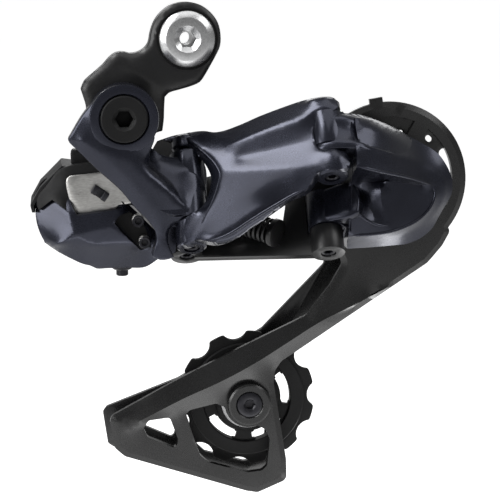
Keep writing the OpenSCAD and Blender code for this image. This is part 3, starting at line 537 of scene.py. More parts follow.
def relief(name, place, outline, creases=(), holes=(), pockets=(), back=0.0, spacing=1.3, width=0.35,
           ready=False, sharp=24, soft=0):
    # a solid whose front follows its outline and creases, each a line of (u, v, depth)
    edgeGap, gridGap, rowStep, pocketWall = 0.35 * spacing, 0.6 * spacing, 0.87 * spacing, 0.3
    loops = [outline if ready else lineThrough(outline, spacing, True)]
    loops += [hole if ready else lineThrough(hole, spacing, True) for hole in holes]
    loops = [np.array(loop, float) for loop in loops]
    edge = np.concatenate(loops)[:, :2]
    points, fixed, links = [], [], []

    def addLine(line, closed, keep=True):
        first = len(points)
        for point in line:
            points.append(tuple(point[:2]))
            fixed.append(float(point[2]) if keep else math.nan)
        count = len(line)
        links.extend((first + k, first + (k + 1) % count) for k in range(count if closed else count - 1))

    for loop in loops:
        addLine(loop, True)
    for line in creases:
        closed = len(line) > 3 and tuple(line[0]) == tuple(line[-1])
        path = lineThrough(line[:-1] if closed else line, spacing, closed)
        flat = np.array(path)[:, :2]
        usable = onLand(flat, loops) & (nearest(flat, edge) > edgeGap)
        run = []
        for point, good in zip(path + [None], list(usable) + [False]):
            if good:
                run.append(point)
            elif run:
                addLine(run, closed and len(run) == len(path))
                run = []
    floors = []
    for loop, floor in pockets:
        rim = lineThrough(atDepth(loop, 0), spacing * 0.8, True, corner=50)
        foot = atDepth(inset(rim, pocketWall), 0)
        addLine(rim, True, False)
        addLine(foot, True, False)
        floors.append((np.array(foot)[:, :2], floor))
    taken = np.array(points)
    low, high = loops[0][:, :2].min(axis=0), loops[0][:, :2].max(axis=0)
    grid = []
    for row, v in enumerate(np.arange(low[1], high[1], rowStep)):
        grid += [(u, v) for u in np.arange(low[0] + (row % 2) * spacing / 2, high[0], spacing)]
    grid = np.array(grid)
    grid = grid[onLand(grid, loops)]
    grid = grid[nearest(grid, taken) > gridGap]
    points += [tuple(point) for point in grid]
    fixed += [math.nan] * len(grid)
    verts, _, faces, origins, _, _ = geometry.delaunay_2d_cdt([Vector(point) for point in points], links, [], 0, 1e-5)
    flat = np.array([tuple(vert) for vert in verts])
    depth = np.array([next((fixed[k] for k in origin if not math.isnan(fixed[k])), math.nan) for origin in origins])
    faces = np.array([face for face in faces if len(face) == 3])
    faces = faces[onLand(flat[faces].mean(axis=1), loops)]
    # depth between the lines settles as a stretched skin does, then the creases are rubbed down a little
    shore = set(range(sum(len(loop) for loop in loops)))
    onRim = np.array([any(k in shore for k in origin) for origin in origins])
    stiff = np.zeros((len(flat), len(flat)))
    for k in range(3):
        tip, one, two = faces[:, k], faces[:, k - 2], faces[:, k - 1]
        first, second = flat[one] - flat[tip], flat[two] - flat[tip]
        cross = np.abs(first[:, 0] * second[:, 1] - first[:, 1] * second[:, 0])
        weight = np.clip((first * second).sum(axis=1) / np.maximum(cross, 1e-6), 0.02, 20)
        np.add.at(stiff, (one, two), weight)
        np.add.at(stiff, (two, one), weight)
    total = np.maximum(stiff.sum(axis=1), 1e-9)
    free, held = np.where(np.isnan(depth))[0], np.where(~np.isnan(depth))[0]
    if len(free):
        matrix = np.diag(total[free]) - stiff[np.ix_(free, free)]
        depth[free] = np.linalg.solve(matrix, stiff[np.ix_(free, held)] @ depth[held])
    for _ in range(soft):
        depth = np.where(onRim, depth, 0.45 * depth + 0.55 * (stiff @ depth) / total)
    for foot, floor in floors:
        middle = foot.mean(axis=0)
        depth[within(flat, middle + (foot - middle) * 1.012)] = floor
    work = bmesh.new()
    used = np.unique(faces)
    front = {k: work.verts.new(place(float(flat[k][0]), float(flat[k][1]), float(depth[k])) * mm) for k in used}
    rear = {k: work.verts.new(place(float(flat[k][0]), float(flat[k][1]), back) * mm) for k in used}
    sides = {}
    for face in faces:
        work.faces.new([front[k] for k in face])
        work.faces.new([rear[k] for k in reversed(face)])
        for a, b in zip(face, np.roll(face, -1)):
            sides[a, b] = True
    # an edge with a face on one side alone gets a wall
    for a, b in sides:
        if (b, a) not in sides:
            work.faces.new([front[b], front[a], rear[a], rear[b]])
    piece = newObject(name, meshOf(name, work))
    return soften(piece, width, limit=42, sharp=sharp) if width else piece


def bead(name, place, line, radius, sink, sides=8):
    # a thin rounded edge along a line, fading at both ends
    path = [place(float(u), float(v), float(d) + sink) * mm for u, v, d in lineThrough(line, 0.6)]
    last = len(path) - 1
    work = bmesh.new()
    rings = []
    for k, point in enumerate(path):
        along = (path[min(k + 1, last)] - path[max(k - 1, 0)]).normalized()
        across = along.cross(toInboard).normalized()
        over = across.cross(along)
        size = radius * mm * min(1, (k + 0.6) / 5, (last - k + 0.6) / 5)
        rings.append([work.verts.new(point + size * (math.cos(a) * across + math.sin(a) * over))
                      for a in np.radians(np.arange(sides) * 360 / sides)])
    for one, two in zip(rings, rings[1:]):
        for k in range(sides):
            work.faces.new([one[k], one[(k + 1) % sides], two[(k + 1) % sides], two[k]])
    work.faces.new(rings[0])
    work.faces.new(rings[-1])
    mesh = meshOf(name, work)
    smooth(mesh, 60)
    return newObject(name, mesh)


def cadLoops(node, depth, spacing):
    # the outlines of a node's flat face at a depth along Y, the longest first
    work = mergedMesh(node)
    work.edges.index_update()
    faces = {face for face in work.faces if face.normal.y < -0.95
             and abs(face.calc_center_median().y / mm - depth) < 0.06}
    edges = {edge for face in faces for edge in face.edges if sum(other in faces for other in edge.link_faces) == 1}
    loops = []
    while edges:
        # the lowest edge first, so that each run starts a loop at the same place
        edge = min(edges, key=lambda edge: edge.index)
        edges.discard(edge)
        start, here = edge.verts
        loop = [start, here]
        while here is not start:
            step = next((other for other in here.link_edges if other in edges), None)
            if step is None:
                break
            edges.discard(step)
            here = step.other_vert(here)
            loop.append(here)
        flat = [np.array((vert.co.x / mm, vert.co.z / mm)) for vert in loop]
        line = []
        for a, b in zip(flat, flat[1:]):
            reach = np.hypot(*(b - a))
            if reach < 0.02:
                continue
            line += [a + (b - a) * t for t in np.linspace(0, 1, max(1, round(reach / spacing)), endpoint=False)]
        thin = [line[0]]
        for point in line[1:]:
            if np.hypot(*(point - thin[-1])) > spacing * 0.4:
                thin.append(point)
        loops.append(thin)
    work.free()
    return sorted(loops, key=lambda loop: -len(loop))


def chamferedPlate(name, node, size):
    # a plate on a node's own outline, with a wide chamfer along its edge and a fine one round its holes
    front, spacing = size["front"], size["spacing"]
    loops = cadLoops(node, front, spacing)
    shoulder = atDepth(inset(loops[0], size["chamfer"]), front)
    return relief(name, onSide, atDepth(loops[0], front + size["drop"]), [shoulder + shoulder[:1], size["crease"]],
                  [atDepth(loop, front + size["holeDrop"]) for loop in loops[1:]], back=size["back"], spacing=spacing,
                  width=size["bevel"], ready=True)


class GeoTree:
    # a node tree for Geometry Nodes with named inputs
    def __init__(self, name, **inputs):
        self.tree = bpy.data.node_groups.new(name, "GeometryNodeTree")
        self.tree.interface.new_socket("Geometry", in_out="INPUT", socket_type="NodeSocketGeometry")
        self.keys = {}
        for key, kind in inputs.items():
            socket = self.tree.interface.new_socket(key, in_out="INPUT", socket_type="NodeSocket" + kind)
            self.keys[key] = socket.identifier
        self.tree.interface.new_socket("Geometry", in_out="OUTPUT", socket_type="NodeSocketGeometry")
        self.inputs = self.tree.nodes.new("NodeGroupInput").outputs

    def node(self, kind, settings=None, sockets=None, out=0):
        made = self.tree.nodes.new(kind)
        for key, value in (settings or {}).items():
            setattr(made, key, value)
        for key, value in (sockets or {}).items():
            if isinstance(value, bpy.types.NodeSocket):
                self.tree.links.new(value, made.inputs[key])
            else:
                made.inputs[key].default_value = value
        return made.outputs[out]

    def close(self, shape):
        whole = self.node("GeometryNodeRealizeInstances", None, {0: shape})
        finished = self.node("GeometryNodeSetMaterial", None, {"Geometry": whole, "Material": self.inputs["Finish"]})
        self.tree.links.new(finished, self.tree.nodes.new("NodeGroupOutput").inputs[0])

    def grow(self, name, mesh, place=None, **values):
        piece = newObject(name, mesh)
        modifier = piece.modifiers.new("grow", "NODES")
        modifier.node_group = self.tree
        for key, value in values.items():
            modifier[self.keys[key]] = value
        bake(piece)
        if place:
            piece.data.transform(place)
        smooth(piece.data, 35)
        return piece


def frameMatrix(at, sideA, sideB, way):
    # own x, y and z laid along three directions at a point in millimetres, for a mesh in metres
    turn = Matrix((sideA, sideB, way)).transposed().to_4x4()
    return Matrix.Translation(Vector(at) * mm) @ turn


coilTree = GeoTree("woundWire", Turns="Float", Radius="Float", Height="Float", Wire="Float", Finish="Material")
spiral = coilTree.node("GeometryNodeCurveSpiral", None, {
    "Resolution": 28, "Rotations": coilTree.inputs["Turns"], "Start Radius": coilTree.inputs["Radius"],
    "End Radius": coilTree.inputs["Radius"], "Height": coilTree.inputs["Height"]})
wireRound = coilTree.node("GeometryNodeCurvePrimitiveCircle", None, {
    "Resolution": 12, "Radius": coilTree.inputs["Wire"]})
coilTree.close(coilTree.node("GeometryNodeCurveToMesh", None, {
    "Curve": spiral, "Profile Curve": wireRound, "Fill Caps": True}))

roundTree = GeoTree("roundRow", Count="Int", Finish="Material")
spots = roundTree.node("GeometryNodePoints", None, {"Count": roundTree.inputs["Count"]})
order = roundTree.node("GeometryNodeInputIndex")
part = roundTree.node("ShaderNodeMath", {"operation": "DIVIDE"}, {0: 2 * math.pi, 1: roundTree.inputs["Count"]})
angle = roundTree.node("ShaderNodeMath", {"operation": "MULTIPLY"}, {0: order, 1: part})
spin = roundTree.node("ShaderNodeCombineXYZ", None, {"Z": angle})
row = roundTree.node("GeometryNodeInstanceOnPoints", None, {
    "Points": spots, "Instance": roundTree.inputs["Geometry"], "Rotation": spin})
joinedRow = roundTree.node("GeometryNodeRealizeInstances", None, {0: row})
roundTree.close(roundTree.node("GeometryNodeMergeByDistance", None, {"Geometry": joinedRow, "Distance": 0.00002}))

spotTree = GeoTree("screwRow", Screw="Object", Finish="Material")
screwShape = spotTree.node("GeometryNodeObjectInfo", None, {"Object": spotTree.inputs["Screw"]}, "Geometry")
spotTree.close(spotTree.node("GeometryNodeInstanceOnPoints", None, {
    "Points": spotTree.inputs["Geometry"], "Instance": screwShape}))
print("tools ready")

# the silver mounting bolt: hollow, with a wide bevel round its flat face and a hexagon socket
mountBolt = {"head": 8.9, "face": 6.7, "mouth": 4.1, "halfFlats": 2.5, "bore": 2.05, "seatY": -6.8, "faceY": -9.8,
             "thread": 5.0, "end": 9.5, "pitch": 1.0}


def boltProfile(size):
    low = size["faceY"]
    stations = [(size["bore"], size["end"]), (size["bore"], low + 6), (size["halfFlats"], low + 5.8, 6),
                (size["halfFlats"], low + 1.3, 6), (size["mouth"], low + 0.15), (size["mouth"] + 0.2, low),
                (size["face"], low), (size["face"] + 0.25, low + 0.12), (size["head"] - 0.25, low + 1.2),
                (size["head"], low + 1.5), (size["head"], size["seatY"] - 0.2), (size["head"] - 0.2, size["seatY"]),
                (6.0, size["seatY"]), (6.0, -0.1), (size["thread"] - 0.5, 0.2)]
    along = 0.3
    while along + size["pitch"] < size["end"] - 0.4:
        stations += [(size["thread"] - 0.5, along), (size["thread"], along + 0.4 * size["pitch"]),
                     (size["thread"], along + 0.55 * size["pitch"])]
        along += size["pitch"]
    return stations + [(size["thread"] - 0.6, along), (size["thread"] - 0.6, size["end"])]


settle(turned("mountingBolt", boltProfile(mountBolt), (0, 0, 0), toInboard, 96, True), "mounting_bolt")

# the near-black lower axle, flat headed
lowerAxle = [(0, -14.2), (2.5, -14.0, 6), (2.5, -19.0, 6), (3.6, -19.9), (3.75, -20.0), (6.95, -20.0), (7.3, -19.8),
             (7.4, -19.5), (7.4, -16.5), (7.3, -16.4), (5.0, -16.4), (5.0, -1.3), (4.7, -1.0), (0, -1.0)]
settle(turned("lowerAxle", lowerAxle, onSide(*axleAt, 0), toInboard, 96), "axle_bolt", "pulley_black")

# the bracket, with a chamfer along its edge and a shallow crease down its arm
bracketShape = {
    "outline": [(-12.2, -1.2), (-11.7, 1.3), (-11.0, 3.8), (-9.8, 6.3), (-7.9, 8.6), (-5.3, 10.5), (-2.1, 11.5),
                (1.1, 11.6), (4.4, 10.7), (7.6, 8.4), (9.9, 5.2), (10.8, 1.2), (10.6, -2.3), (9.3, -5.2), (7.4, -8.6),
                (5.7, -11.5), (4.1, -13.7), (0.9, -15.1), (-3.0, -16.2), (-5.9, -17.1), (-7.2, -18.4), (-7.4, -21.3),
                (-7.6, -25.7), (-8.1, -29.3), (-10.2, -29.9), (-12.5, -33), (-17, -35.8), (-22, -36), (-27, -34.4),
                (-30, -31), (-32, -26), (-32.4, -21.0), (-33.1, -18.5), (-33.9, -15.9), (-32.8, -13.4),
                (-30.0, -10.9), (-26.8, -8.1), (-24.5, -5.6), (-22.6, -4.3), (-20.1, -4.0), (-18.2, -4.5),
                (-15.9, -4.2), (-13.7, -3.1)],
    "crease": [(-21.4, -6.8, -8.8), (-19.2, -7.9, -9.5), (-15.1, -10.5, -10), (-10.7, -13.8, -9.8),
               (-7.8, -15.8, -8.8)],
    "edgeY": -7.4, "faceY": -8.6, "holeDrop": 0.15, "back": -0.02, "chamfer": 1.7, "spacing": 1.1,
}


def buildBracket(size):
    edge = lineThrough(atDepth(size["outline"], size["edgeY"]), size["spacing"], True)
    fold = atDepth(inset(edge, size["chamfer"]), size["faceY"])
    holes = [atDepth(loop, size["faceY"] + size["holeDrop"])
             for loop in cadLoops("bracket_link", size["faceY"], size["spacing"])[1:]]
    return relief("bracketShell", onSide, edge, [fold + fold[:1], size["crease"]], holes, back=size["back"],
                  spacing=size["spacing"], width=0.4, ready=True, sharp=60, soft=1)


seat = turned("boltSeat", [(6.05, -0.05), (9.9, -0.05), (9.9, -6.6), (6.05, -6.6)], (0, 0, 0), toInboard, 64, True)
stopAt, stopWay = (-23.3, -4.3, -12.0), (-1, 0, 0)
shell = joined("bracketShell", [buildBracket(bracketShape), seat])
settle(drill(shell, stopAt, stopWay, 2.0, 20), "bracket_link")
stopScrew = [(0, 3.4), (1.0, 3.2, 6), (1.0, 6.0, 6), (1.2, 6.4), (1.7, 6.4), (2.0, 6.1), (2.0, 0.3), (1.7, 0), (0, 0)]
settle(turned("stopScrew", stopScrew, stopAt, stopWay, 36), "stop_screw")
print("mounting and bracket made")

# the base: a ring round the lower axle, a creased diagonal arm and the barrels between the links
baseArm = {
    "outline": [(-29.3, -17.6, -19), (-33.8, -23.2, -17.8), (-37.8, -29.7, -17.2), (-38.4, -30.7, -17),
                (-37.9, -31.7, -17), (-36.2, -33.4, -17), (-29.5, -40.2, -17.2), (-22.4, -46.7, -17.6),
                (-17.2, -53, -17.8), (-13.3, -57.1, -17.8), (-11.5, -59.9, -17.8), (-11, -62.3, -17.8),
                (-11.7, -65.8, -17.8), (-12.4, -68.3, -17.6), (-9.9, -69.5, -17.6), (-7.1, -69.3, -17.6),
                (-5.4, -68.7, -17.6), (-6.7, -66.1, -18), (-7.3, -63, -18), (-6.9, -59.9, -18), (-5.4, -58.2, -18),
                (-2.5, -57.1, -18), (0.3, -56.2, -18), (2.6, -55, -17.5), (2.1, -53.6, -16), (-0.3, -50.8, -15),
                (-4.1, -46.7, -14.5), (-8.4, -42.6, -14.5), (-12.2, -39.5, -15.5), (-12.9, -36.8, -17),
                (-12.5, -34.2, -18), (-11.3, -30.3, -19)],
    "crease": [(-27, -33.6, -19.9), (-22.6, -35.2, -20.2), (-17.6, -38, -20.2), (-12.4, -41.9, -20.1),
               (-6.1, -47.6, -19.9), (-1.7, -52.3, -19.4), (0.3, -54.6, -18.8)],
    "belly": [(-34, -30.9, -19.2), (-28.5, -35.8, -19.6), (-21.7, -42, -19.7), (-15.2, -49.8, -19.5),
              (-10.9, -55.3, -19.3), (-9, -60.2, -19), (-9.7, -66.1, -18.6)],
    "ring": 9.2, "ringY": -19.5, "back": -11.2, "spacing": 1.25,
}
armRing = atDepth([around(axleAt, baseArm["ring"], degrees) for degrees in range(-16, -214, -12)], baseArm["ringY"])
arm = relief("baseArm", onSide, baseArm["outline"] + armRing, [baseArm["crease"], baseArm["belly"]],
             back=baseArm["back"], spacing=baseArm["spacing"], width=0.45, sharp=50, soft=2)
baseRing = [(7.7, -19.2), (8.0, -19.6), (10.2, -19.6), (10.75, -19.35), (10.9, -18.8), (10.9, -9.3), (10.5, -8.9),
            (6.1, -8.9), (6.1, -16.1), (7.7, -16.1)]
ring = turned("baseRing", baseRing, onSide(*axleAt, 0), toInboard, 96, True)
rear = softCopy("base_knuckle", 0.5, [((0, -11.6, 0), (0, -1, 0))])


def sleeve(name, at, low, high, radius, bore, ease):
    # a tube along a pivot, from low to high, with its rims eased
    stations = [(bore, low), (radius - ease, low), (radius, low + ease), (radius, high - ease), (radius - ease, high),
                (bore, high)]
    return turned(name, stations, at, pivotAxis, 64, True)


def onBase(u, v, d):
    return pivotFoot + u * forward + v * pivotAxis + d * inward


# broad hub round the rear barrel, up to the arm
baseHub = {
    "outline": [(-12.5, 34.5, -4.6), (-11.1, 33.4, -5.2), (-9.2, 31.7, -5.2), (-7, 30.9, -5), (-3.2, 30.3, -4.8),
                (0.1, 30.2, -4.6), (3.1, 30.7, -4), (5, 30.3, -3), (5.9, 27.9, -2), (5.8, 21.8, -1.8),
                (4.8, 16.6, -2), (3, 11.9, -3), (0.9, 9.7, -4.2), (-2.4, 9.7, -5), (-6.9, 9.7, -5.5), (-13, 12.8, -6),
                (-16.4, 23.6, -6)],
    "creases": [[(-9.2, 27.7, -6.2), (-5.5, 24.7, -6.35), (-0.3, 25.2, -6.1), (2.4, 26.2, -5.3)],
                [(-4.3, 22.1, -6.3), (-2.2, 14.2, -6.3), (-1.1, 9.8, -6)],
                [(3.3, 24.2, -4.9), (3.1, 18.4, -4.9), (1.6, 12.4, -4.9)]],
}
hub = relief("baseHub", onBase, baseHub["outline"], baseHub["creases"], back=0.5, spacing=0.9, width=0.5, sharp=60,
             soft=4)
# satin black sheet behind the opening over the hub: painted shade, standing for the shadow inside the opening
springWall = [(-10.5, 40.2), (-8.7, 43.6), (-6, 44.5), (0.3, 43.7), (4.2, 41.5), (5.6, 37.7), (3.8, 35.1),
              (-6.5, 35.3), (-11.4, 36.5)]
# the sheet is painted shade, darker than the anthracite body round it
settle(relief("springWall", onBase, atDepth(springWall, 8), back=9.6, spacing=1.4, width=0.5), "base_knuckle",
       "satin_black", bodyOf["base_knuckle"])
barrel = {"bore": 2.6, "ease": 0.5}
rearBarrel = sleeve("rearBarrel", pivotFoot, 9.6, 29.6, 5.4, **barrel)
innerBarrel = sleeve("innerBarrel", innerFoot, 11.3, 28.0, 5.8, **barrel)
settle(joined("baseKnuckle", [arm, ring, rear, hub, rearBarrel, innerBarrel]), "base_knuckle")
print("base made")

# the motor unit's faceted housing, with pockets for the heat plate and the limit screws
housing = {
    "outline": [(-46.5, -48.2, -5), (-40, -41.7, -6), (-33, -42.6, -7.5), (-19, -53, -9), (-9.4, -63, -9),
                (-9.4, -71, -6), (-14.1, -74, -5), (-19.4, -74.2, -4.6), (-26, -74.1, -5), (-30, -74.1, -5),
                (-31.4, -73.1, -6), (-34.1, -72.2, -7), (-38.1, -70.1, -8), (-42.2, -67.6, -8.5),
                (-46.4, -64.4, -7.5), (-49.1, -54.8, -5.5)],
    "folds": [
        [(-38.4, -54.5, -12.8), (-29.8, -53.2, -12.6), (-21.3, -52, -12.4)],
        [(-36.5, -61.3, -14.6), (-30.6, -59.8, -14.5), (-24.8, -58.4, -14.4)],
        [(-38.4, -54.5, -12.8), (-36.5, -61.3, -14.6)],
        [(-44.7, -51, -7.5), (-38.4, -54.5, -12.8)],
        [(-45.4, -64.3, -8.8), (-42.4, -64.5, -12.6), (-36.5, -61.3, -14.6)],
        [(-36.5, -61.3, -14.6), (-31.7, -64.5, -13.6), (-25, -64.3, -13.6), (-16, -64.6, -13.4)],
        [(-24.8, -58.4, -14.4), (-21.1, -61.8, -14), (-16, -64.6, -13.4)],
    ],
    "heatPocket": [(-39.8, -45.4), (-37.6, -43.9), (-30.2, -43.9), (-23.0, -49.6), (-20.9, -52.4), (-21.4, -53.6),
                   (-36, -55.4), (-37.6, -52.2)],
    "screwPocket": [(-24.2, -58), (-22.6, -55.9), (-18.9, -54.6), (-15.6, -57.0), (-12.9, -62.5), (-12.0, -67.0),
                    (-15.7, -67.6), (-18.3, -64.6), (-21.1, -61.8)],
    "heatFloor": -9.2, "screwFloor": -9.0, "back": -3.6, "spacing": 0.9,
}
face = relief("housingFace", onSide, housing["outline"], housing["folds"],
              pockets=[(housing[key + "Pocket"], housing[key + "Floor"]) for key in ("heat", "screw")],
              back=housing["back"], spacing=housing["spacing"], width=0.35, sharp=40, soft=1)
rear = softCopy("motor_housing", 0.5, [((0, -4.0, 0), (0, -1, 0))])
settle(joined("motorHousing", [face, rear]), "motor_housing")
settle(softCopy("motor_cover", 0.5), "motor_cover")
# black bezel round the heat plate, running on under the arm
bezel = {
    "outline": [(-48.6, -52.8, -7.2), (-48.5, -50.4, -7.2), (-45.1, -45.9, -7.6), (-41.3, -41.3, -8.2),
                (-38.1, -39.9, -8.8), (-31.4, -39, -9.4), (-24.5, -38.8, -9.8), (-17.9, -44.6, -9.8),
                (-13.4, -51.2, -9.8), (-16, -53.4, -9.8), (-21.5, -52.4, -9.9), (-28.6, -53.1, -9.9),
                (-34.6, -54.2, -9.8), (-36.8, -54.5, -9.9), (-38.8, -54.2, -11.2), (-39.8, -53.3, -12.2),
                (-43.7, -50.6, -9.8), (-48, -54.2, -7.6)],
    "creases": [[(-39.6, -45, -9.8), (-39.4, -48.5, -9.8), (-38.2, -52.2, -9.7), (-37, -53.6, -9.7)],
                [(-46.6, -51, -8), (-42.2, -45, -8.6), (-38.6, -42.2, -9)]],
}
plateBezel = relief("plateBezel", onSide, bezel["outline"], bezel["creases"], back=-5.6, spacing=1.1, width=0.4,
                    sharp=60, soft=2)
settle(plateBezel, "motor_housing", "black_plastic", bodyOf["motor_housing"])
shoulderBlock = [(-37.4, -35.8), (-36.9, -35.0), (-34.5, -35.4), (-30.7, -37.8), (-28.2, -40.1), (-37.3, -40.4)]
settle(relief("shoulderBlock", onSide, atDepth(shoulderBlock, -6), back=-1.5, spacing=1.2, width=0.5),
       "motor_housing", "black_plastic", bodyOf["motor_housing"])
heatPlate = {
    "outline": [(-39.2, -45.4, -9.9), (-39.0, -43.8, -9.9), (-38.2, -43.2, -9.9), (-33.1, -42.5, -10.2),
                (-27.1, -41.8, -10.3), (-20.8, -47.7, -10.3), (-17.9, -52.0, -10.3), (-22.6, -52.6, -10.3),
                (-23.6, -53.8, -10.3), (-28.6, -54.6, -10.3), (-34.9, -55.2, -10.3), (-37.0, -54.4, -10.1),
                (-38.2, -50.8, -9.9), (-38.9, -48.0, -9.9)],
    "roll": [(-37.2, -44.2, -10.5), (-37.7, -47.6, -10.5), (-36.8, -50.4, -10.5), (-35.4, -52.4, -10.5)],
}
plateFace = relief("heatPlate", onSide, heatPlate["outline"], [heatPlate["roll"]], back=-9.25, spacing=0.9,
                   width=0.15, sharp=60, soft=1)
settle(plateFace, "heat_plate")
settle(softCopy("plate_clip", 0.25), "plate_clip", "dark_steel")
pocketRim = lineThrough(atDepth(housing["screwPocket"], 0), 1.0, True, corner=50)
pocketLining = relief("pocketLining", onSide, atDepth(inset(pocketRim, 0.45), -9.35), back=-9.05, spacing=1.0,
                      width=0, ready=True)
settle(pocketLining, "limit_screws", "black_plastic", "base")


def screwRow(name, profile, places, way, node):
    # one screw on a point for each place
    screw = turned(name + "One", profile, (0, 0, 0), way, 40)
    mesh = bpy.data.meshes.new(name + "Places")
    mesh.from_pydata([tuple(Vector(place) * mm) for place in places], [], [])
    row = spotTree.grow(name, mesh, Screw=screw, Finish=finishes[slotOf[node]])
    bpy.data.objects.remove(screw)
    return settle(row, node)


limitPlaces = [(-16.5, 0, -57.5), (-14.5, 0, -64.5)]
limitScrew = [(0, -12.4), (0.8, -12.5, 6), (0.8, -13.3, 6), (1.1, -13.75), (1.7, -13.8), (1.9, -13.6), (1.9, -12.7),
              (1.8, -12.6), (1.3, -12.6), (1.3, -3.0), (0, -2.8)]
screwRow("limitScrews", limitScrew, limitPlaces, toInboard, "limit_screws")
coverPlaces = [(-40.5, 0, -45.6), (-40, 0, -66.8), (-13.5, 0, -69)]
coverScrew = [(0, 15.7), (0.9, 15.7, 6), (0.9, 16.5, 6), (1.15, 16.75), (1.6, 16.8), (1.95, 16.5), (2.0, 16.1),
              (2.0, 15.2), (1.1, 15.2), (1.1, 5.2), (0, 5.0)]
screwRow("coverScrews", coverScrew, coverPlaces, toInboard, "housing_screws")
drainPlug = [(0, -2.4), (0.9, -2.4, 6), (0.9, -3.1, 6), (1.2, -3.3), (1.7, -3.3), (2.0, -3.0), (2.0, -1.3),
             (2.8, -1.2), (3.2, -0.9), (3.3, -0.2), (3.2, 0), (2.0, 0), (2.0, 1.9), (0, 2.0)]
settle(turned("drainPlug", drainPlug, (-21.3, 0, -74.2), (0, 0, 1), 40), "drain_plug")


def coil(name, at, way, sideA, size, node):
    side = Vector(sideA).normalized()
    axis = Vector(way).normalized()
    return coilTree.grow(name, bpy.data.meshes.new(name), frameMatrix(at, side, axis.cross(side), axis),
                         Turns=float(size["turns"]), Radius=size["radius"] * mm, Height=size["height"] * mm,
                         Wire=size["wire"] * mm, Finish=finishes[slotOf[node]])


limitCoil = {"turns": 4.5, "radius": 1.7, "wire": 0.3, "height": 3.5, "fromY": -12.2}
coils = [coil("limitCoil", (x, limitCoil["fromY"], z), toInboard, forward, limitCoil, "limit_springs")
         for x, _, z in limitPlaces]
settle(joined("limitCoils", coils), "limit_springs")
print("motor unit made")

# the outer link: a broad sculpted plate between two pairs of eyes
outerLink = {
    "outline": [(-6.6, 40.0, -3.0), (-3.5, 40.3, -3), (0.4, 40.2, -3), (4.2, 40.1, -2.8), (7.9, 39.5, -2.6),
                (10.8, 38.4, -2.4), (14, 38.1, -2.4), (19.2, 38.6, -2.6), (26.9, 40.2, -2.6), (34.2, 41.3, -2.6),
                (41.6, 42.1, -2.6), (45.6, 42.2, -2.4), (48.8, 41.9, -2.2), (51.5, 40.9, -2.2), (52.7, 39.0, -2.6),
                (53.2, 36.6, -3.6), (52.2, 35.2, -4.4), (50.6, 34.6, -4.8), (46.7, 34.2, -5), (45.3, 33.3, -5),
                (44.7, 29.4, -4.9), (44.8, 25.0, -4.9), (45.6, 22.9, -4.9), (47.2, 22.0, -4.9), (50.4, 21.4, -4.8),
                (53.8, 20.4, -2.6), (54.7, 17.4, -2.0), (54.2, 15.0, -2.4), (52.2, 14.0, -4.2), (49.0, 14.2, -4.9),
                (46.5, 14.3, -5), (44.5, 14.0, -5), (39.8, 9.6, -3.6), (34.9, 8.6, -3), (30, 6.4, -2.6),
                (24.7, 3.9, -2.4), (19.5, 1.6, -2.3), (15.7, -0.2, -2.6), (12, -1.2, -3.2), (8.5, -1.2, -4),
                (3.9, 0.3, -5), (0.9, 0.0, -4.9), (-1.6, 0.0, -4.3), (-3.0, 0.6, -3.6), (-3.4, 4.2, -3.2),
                (-2.6, 7.6, -3.8), (0.4, 8.9, -4.7), (3.7, 9.9, -5.4), (5.7, 12.3, -3.6), (7.2, 16.4, -1.8),
                (8.3, 20.6, -1.5), (8.5, 23.0, -1.5), (7.6, 26.4, -1.8), (6.0, 29.6, -3.4), (3.6, 32.6, -3.2),
                (1.4, 35.0, -2.8), (-1.4, 37.0, -2.8), (-4.4, 38.6, -3)],
    "ridge": [(14, 29.8, -5.2), (19.6, 30.7, -6), (28.1, 32.2, -6.3), (37.6, 33.5, -6.2), (44.0, 34.4, -5.9)],
    "crease": [(13.6, 21.7, -6.3), (19.8, 20.7, -6.3), (29.6, 18.7, -6.2), (39.3, 16.8, -5.9), (45.0, 15.8, -5.6)],
    "lowEdge": [(4.9, -1.0, -5.4), (8.3, -0.6, -5.2), (12.0, -0.5, -5.1), (16.1, 0.8, -5.0), (20.9, 2.9, -5.0),
                (26.0, 5.0, -5.0), (31.1, 6.9, -5.0), (35.8, 8.6, -5.0), (39.8, 9.6, -5.1), (43.4, 9.7, -5.2)],
    "rim": [(0.4, 37.2, -4.2), (4.3, 34.6, -4.9), (9.0, 28.9, -5.4), (12.1, 23.9, -5.9), (13.0, 20.9, -6.1),
            (11.7, 16.3, -5.8), (9.7, 11.9, -5.7), (7.4, 8.2, -5.6), (4.8, 3.4, -5.5), (2.4, 1.2, -5.3)],
    "hollows": [[(20, 25.6, -5), (33.4, 25.9, -4.9), (42.5, 26, -4.9)],
                [(11.4, 8.4, -5.5), (20.3, 11.6, -5.6), (30.1, 13.2, -5.6), (38, 13.6, -5.5)]],
    "covers": [[(-4.6, 39.4, -3.6), (0.5, 38.9, -4.2), (6, 38.0, -4)],
               [(-1.6, 1.6, -4.4), (-1.2, 4.6, -4.7), (0.4, 7.2, -5)],
               [(44.6, 36.2, -5.7), (48, 36.3, -5.9), (51.2, 36.5, -5.1)],
               [(44.2, 40.6, -4.9), (48, 40.5, -5.2), (50.4, 39.9, -4.7)],
               [(46.4, 15.7, -5.6), (48.6, 15.9, -5.8), (51.2, 16.1, -5.6), (52.8, 16.4, -4.7)],
               [(45.6, 18.1, -5.6), (48.6, 18.1, -5.8), (51.4, 18.0, -5.6), (53.2, 17.8, -4.7)],
               [(46.6, 20.4, -5.6), (48.6, 20.4, -5.8), (51.2, 19.9, -5.6), (52.6, 19.4, -4.7)]],
    "back": -1.1, "spacing": 0.85,
}
plate = relief("outerPlateFace", onOuterLink, outerLink["outline"],
               [*(outerLink[key] for key in ("ridge", "crease", "rim", "lowEdge")), *outerLink["hollows"],
                *outerLink["covers"]],
               back=outerLink["back"], spacing=outerLink["spacing"], width=0.4, sharp=60, soft=4)
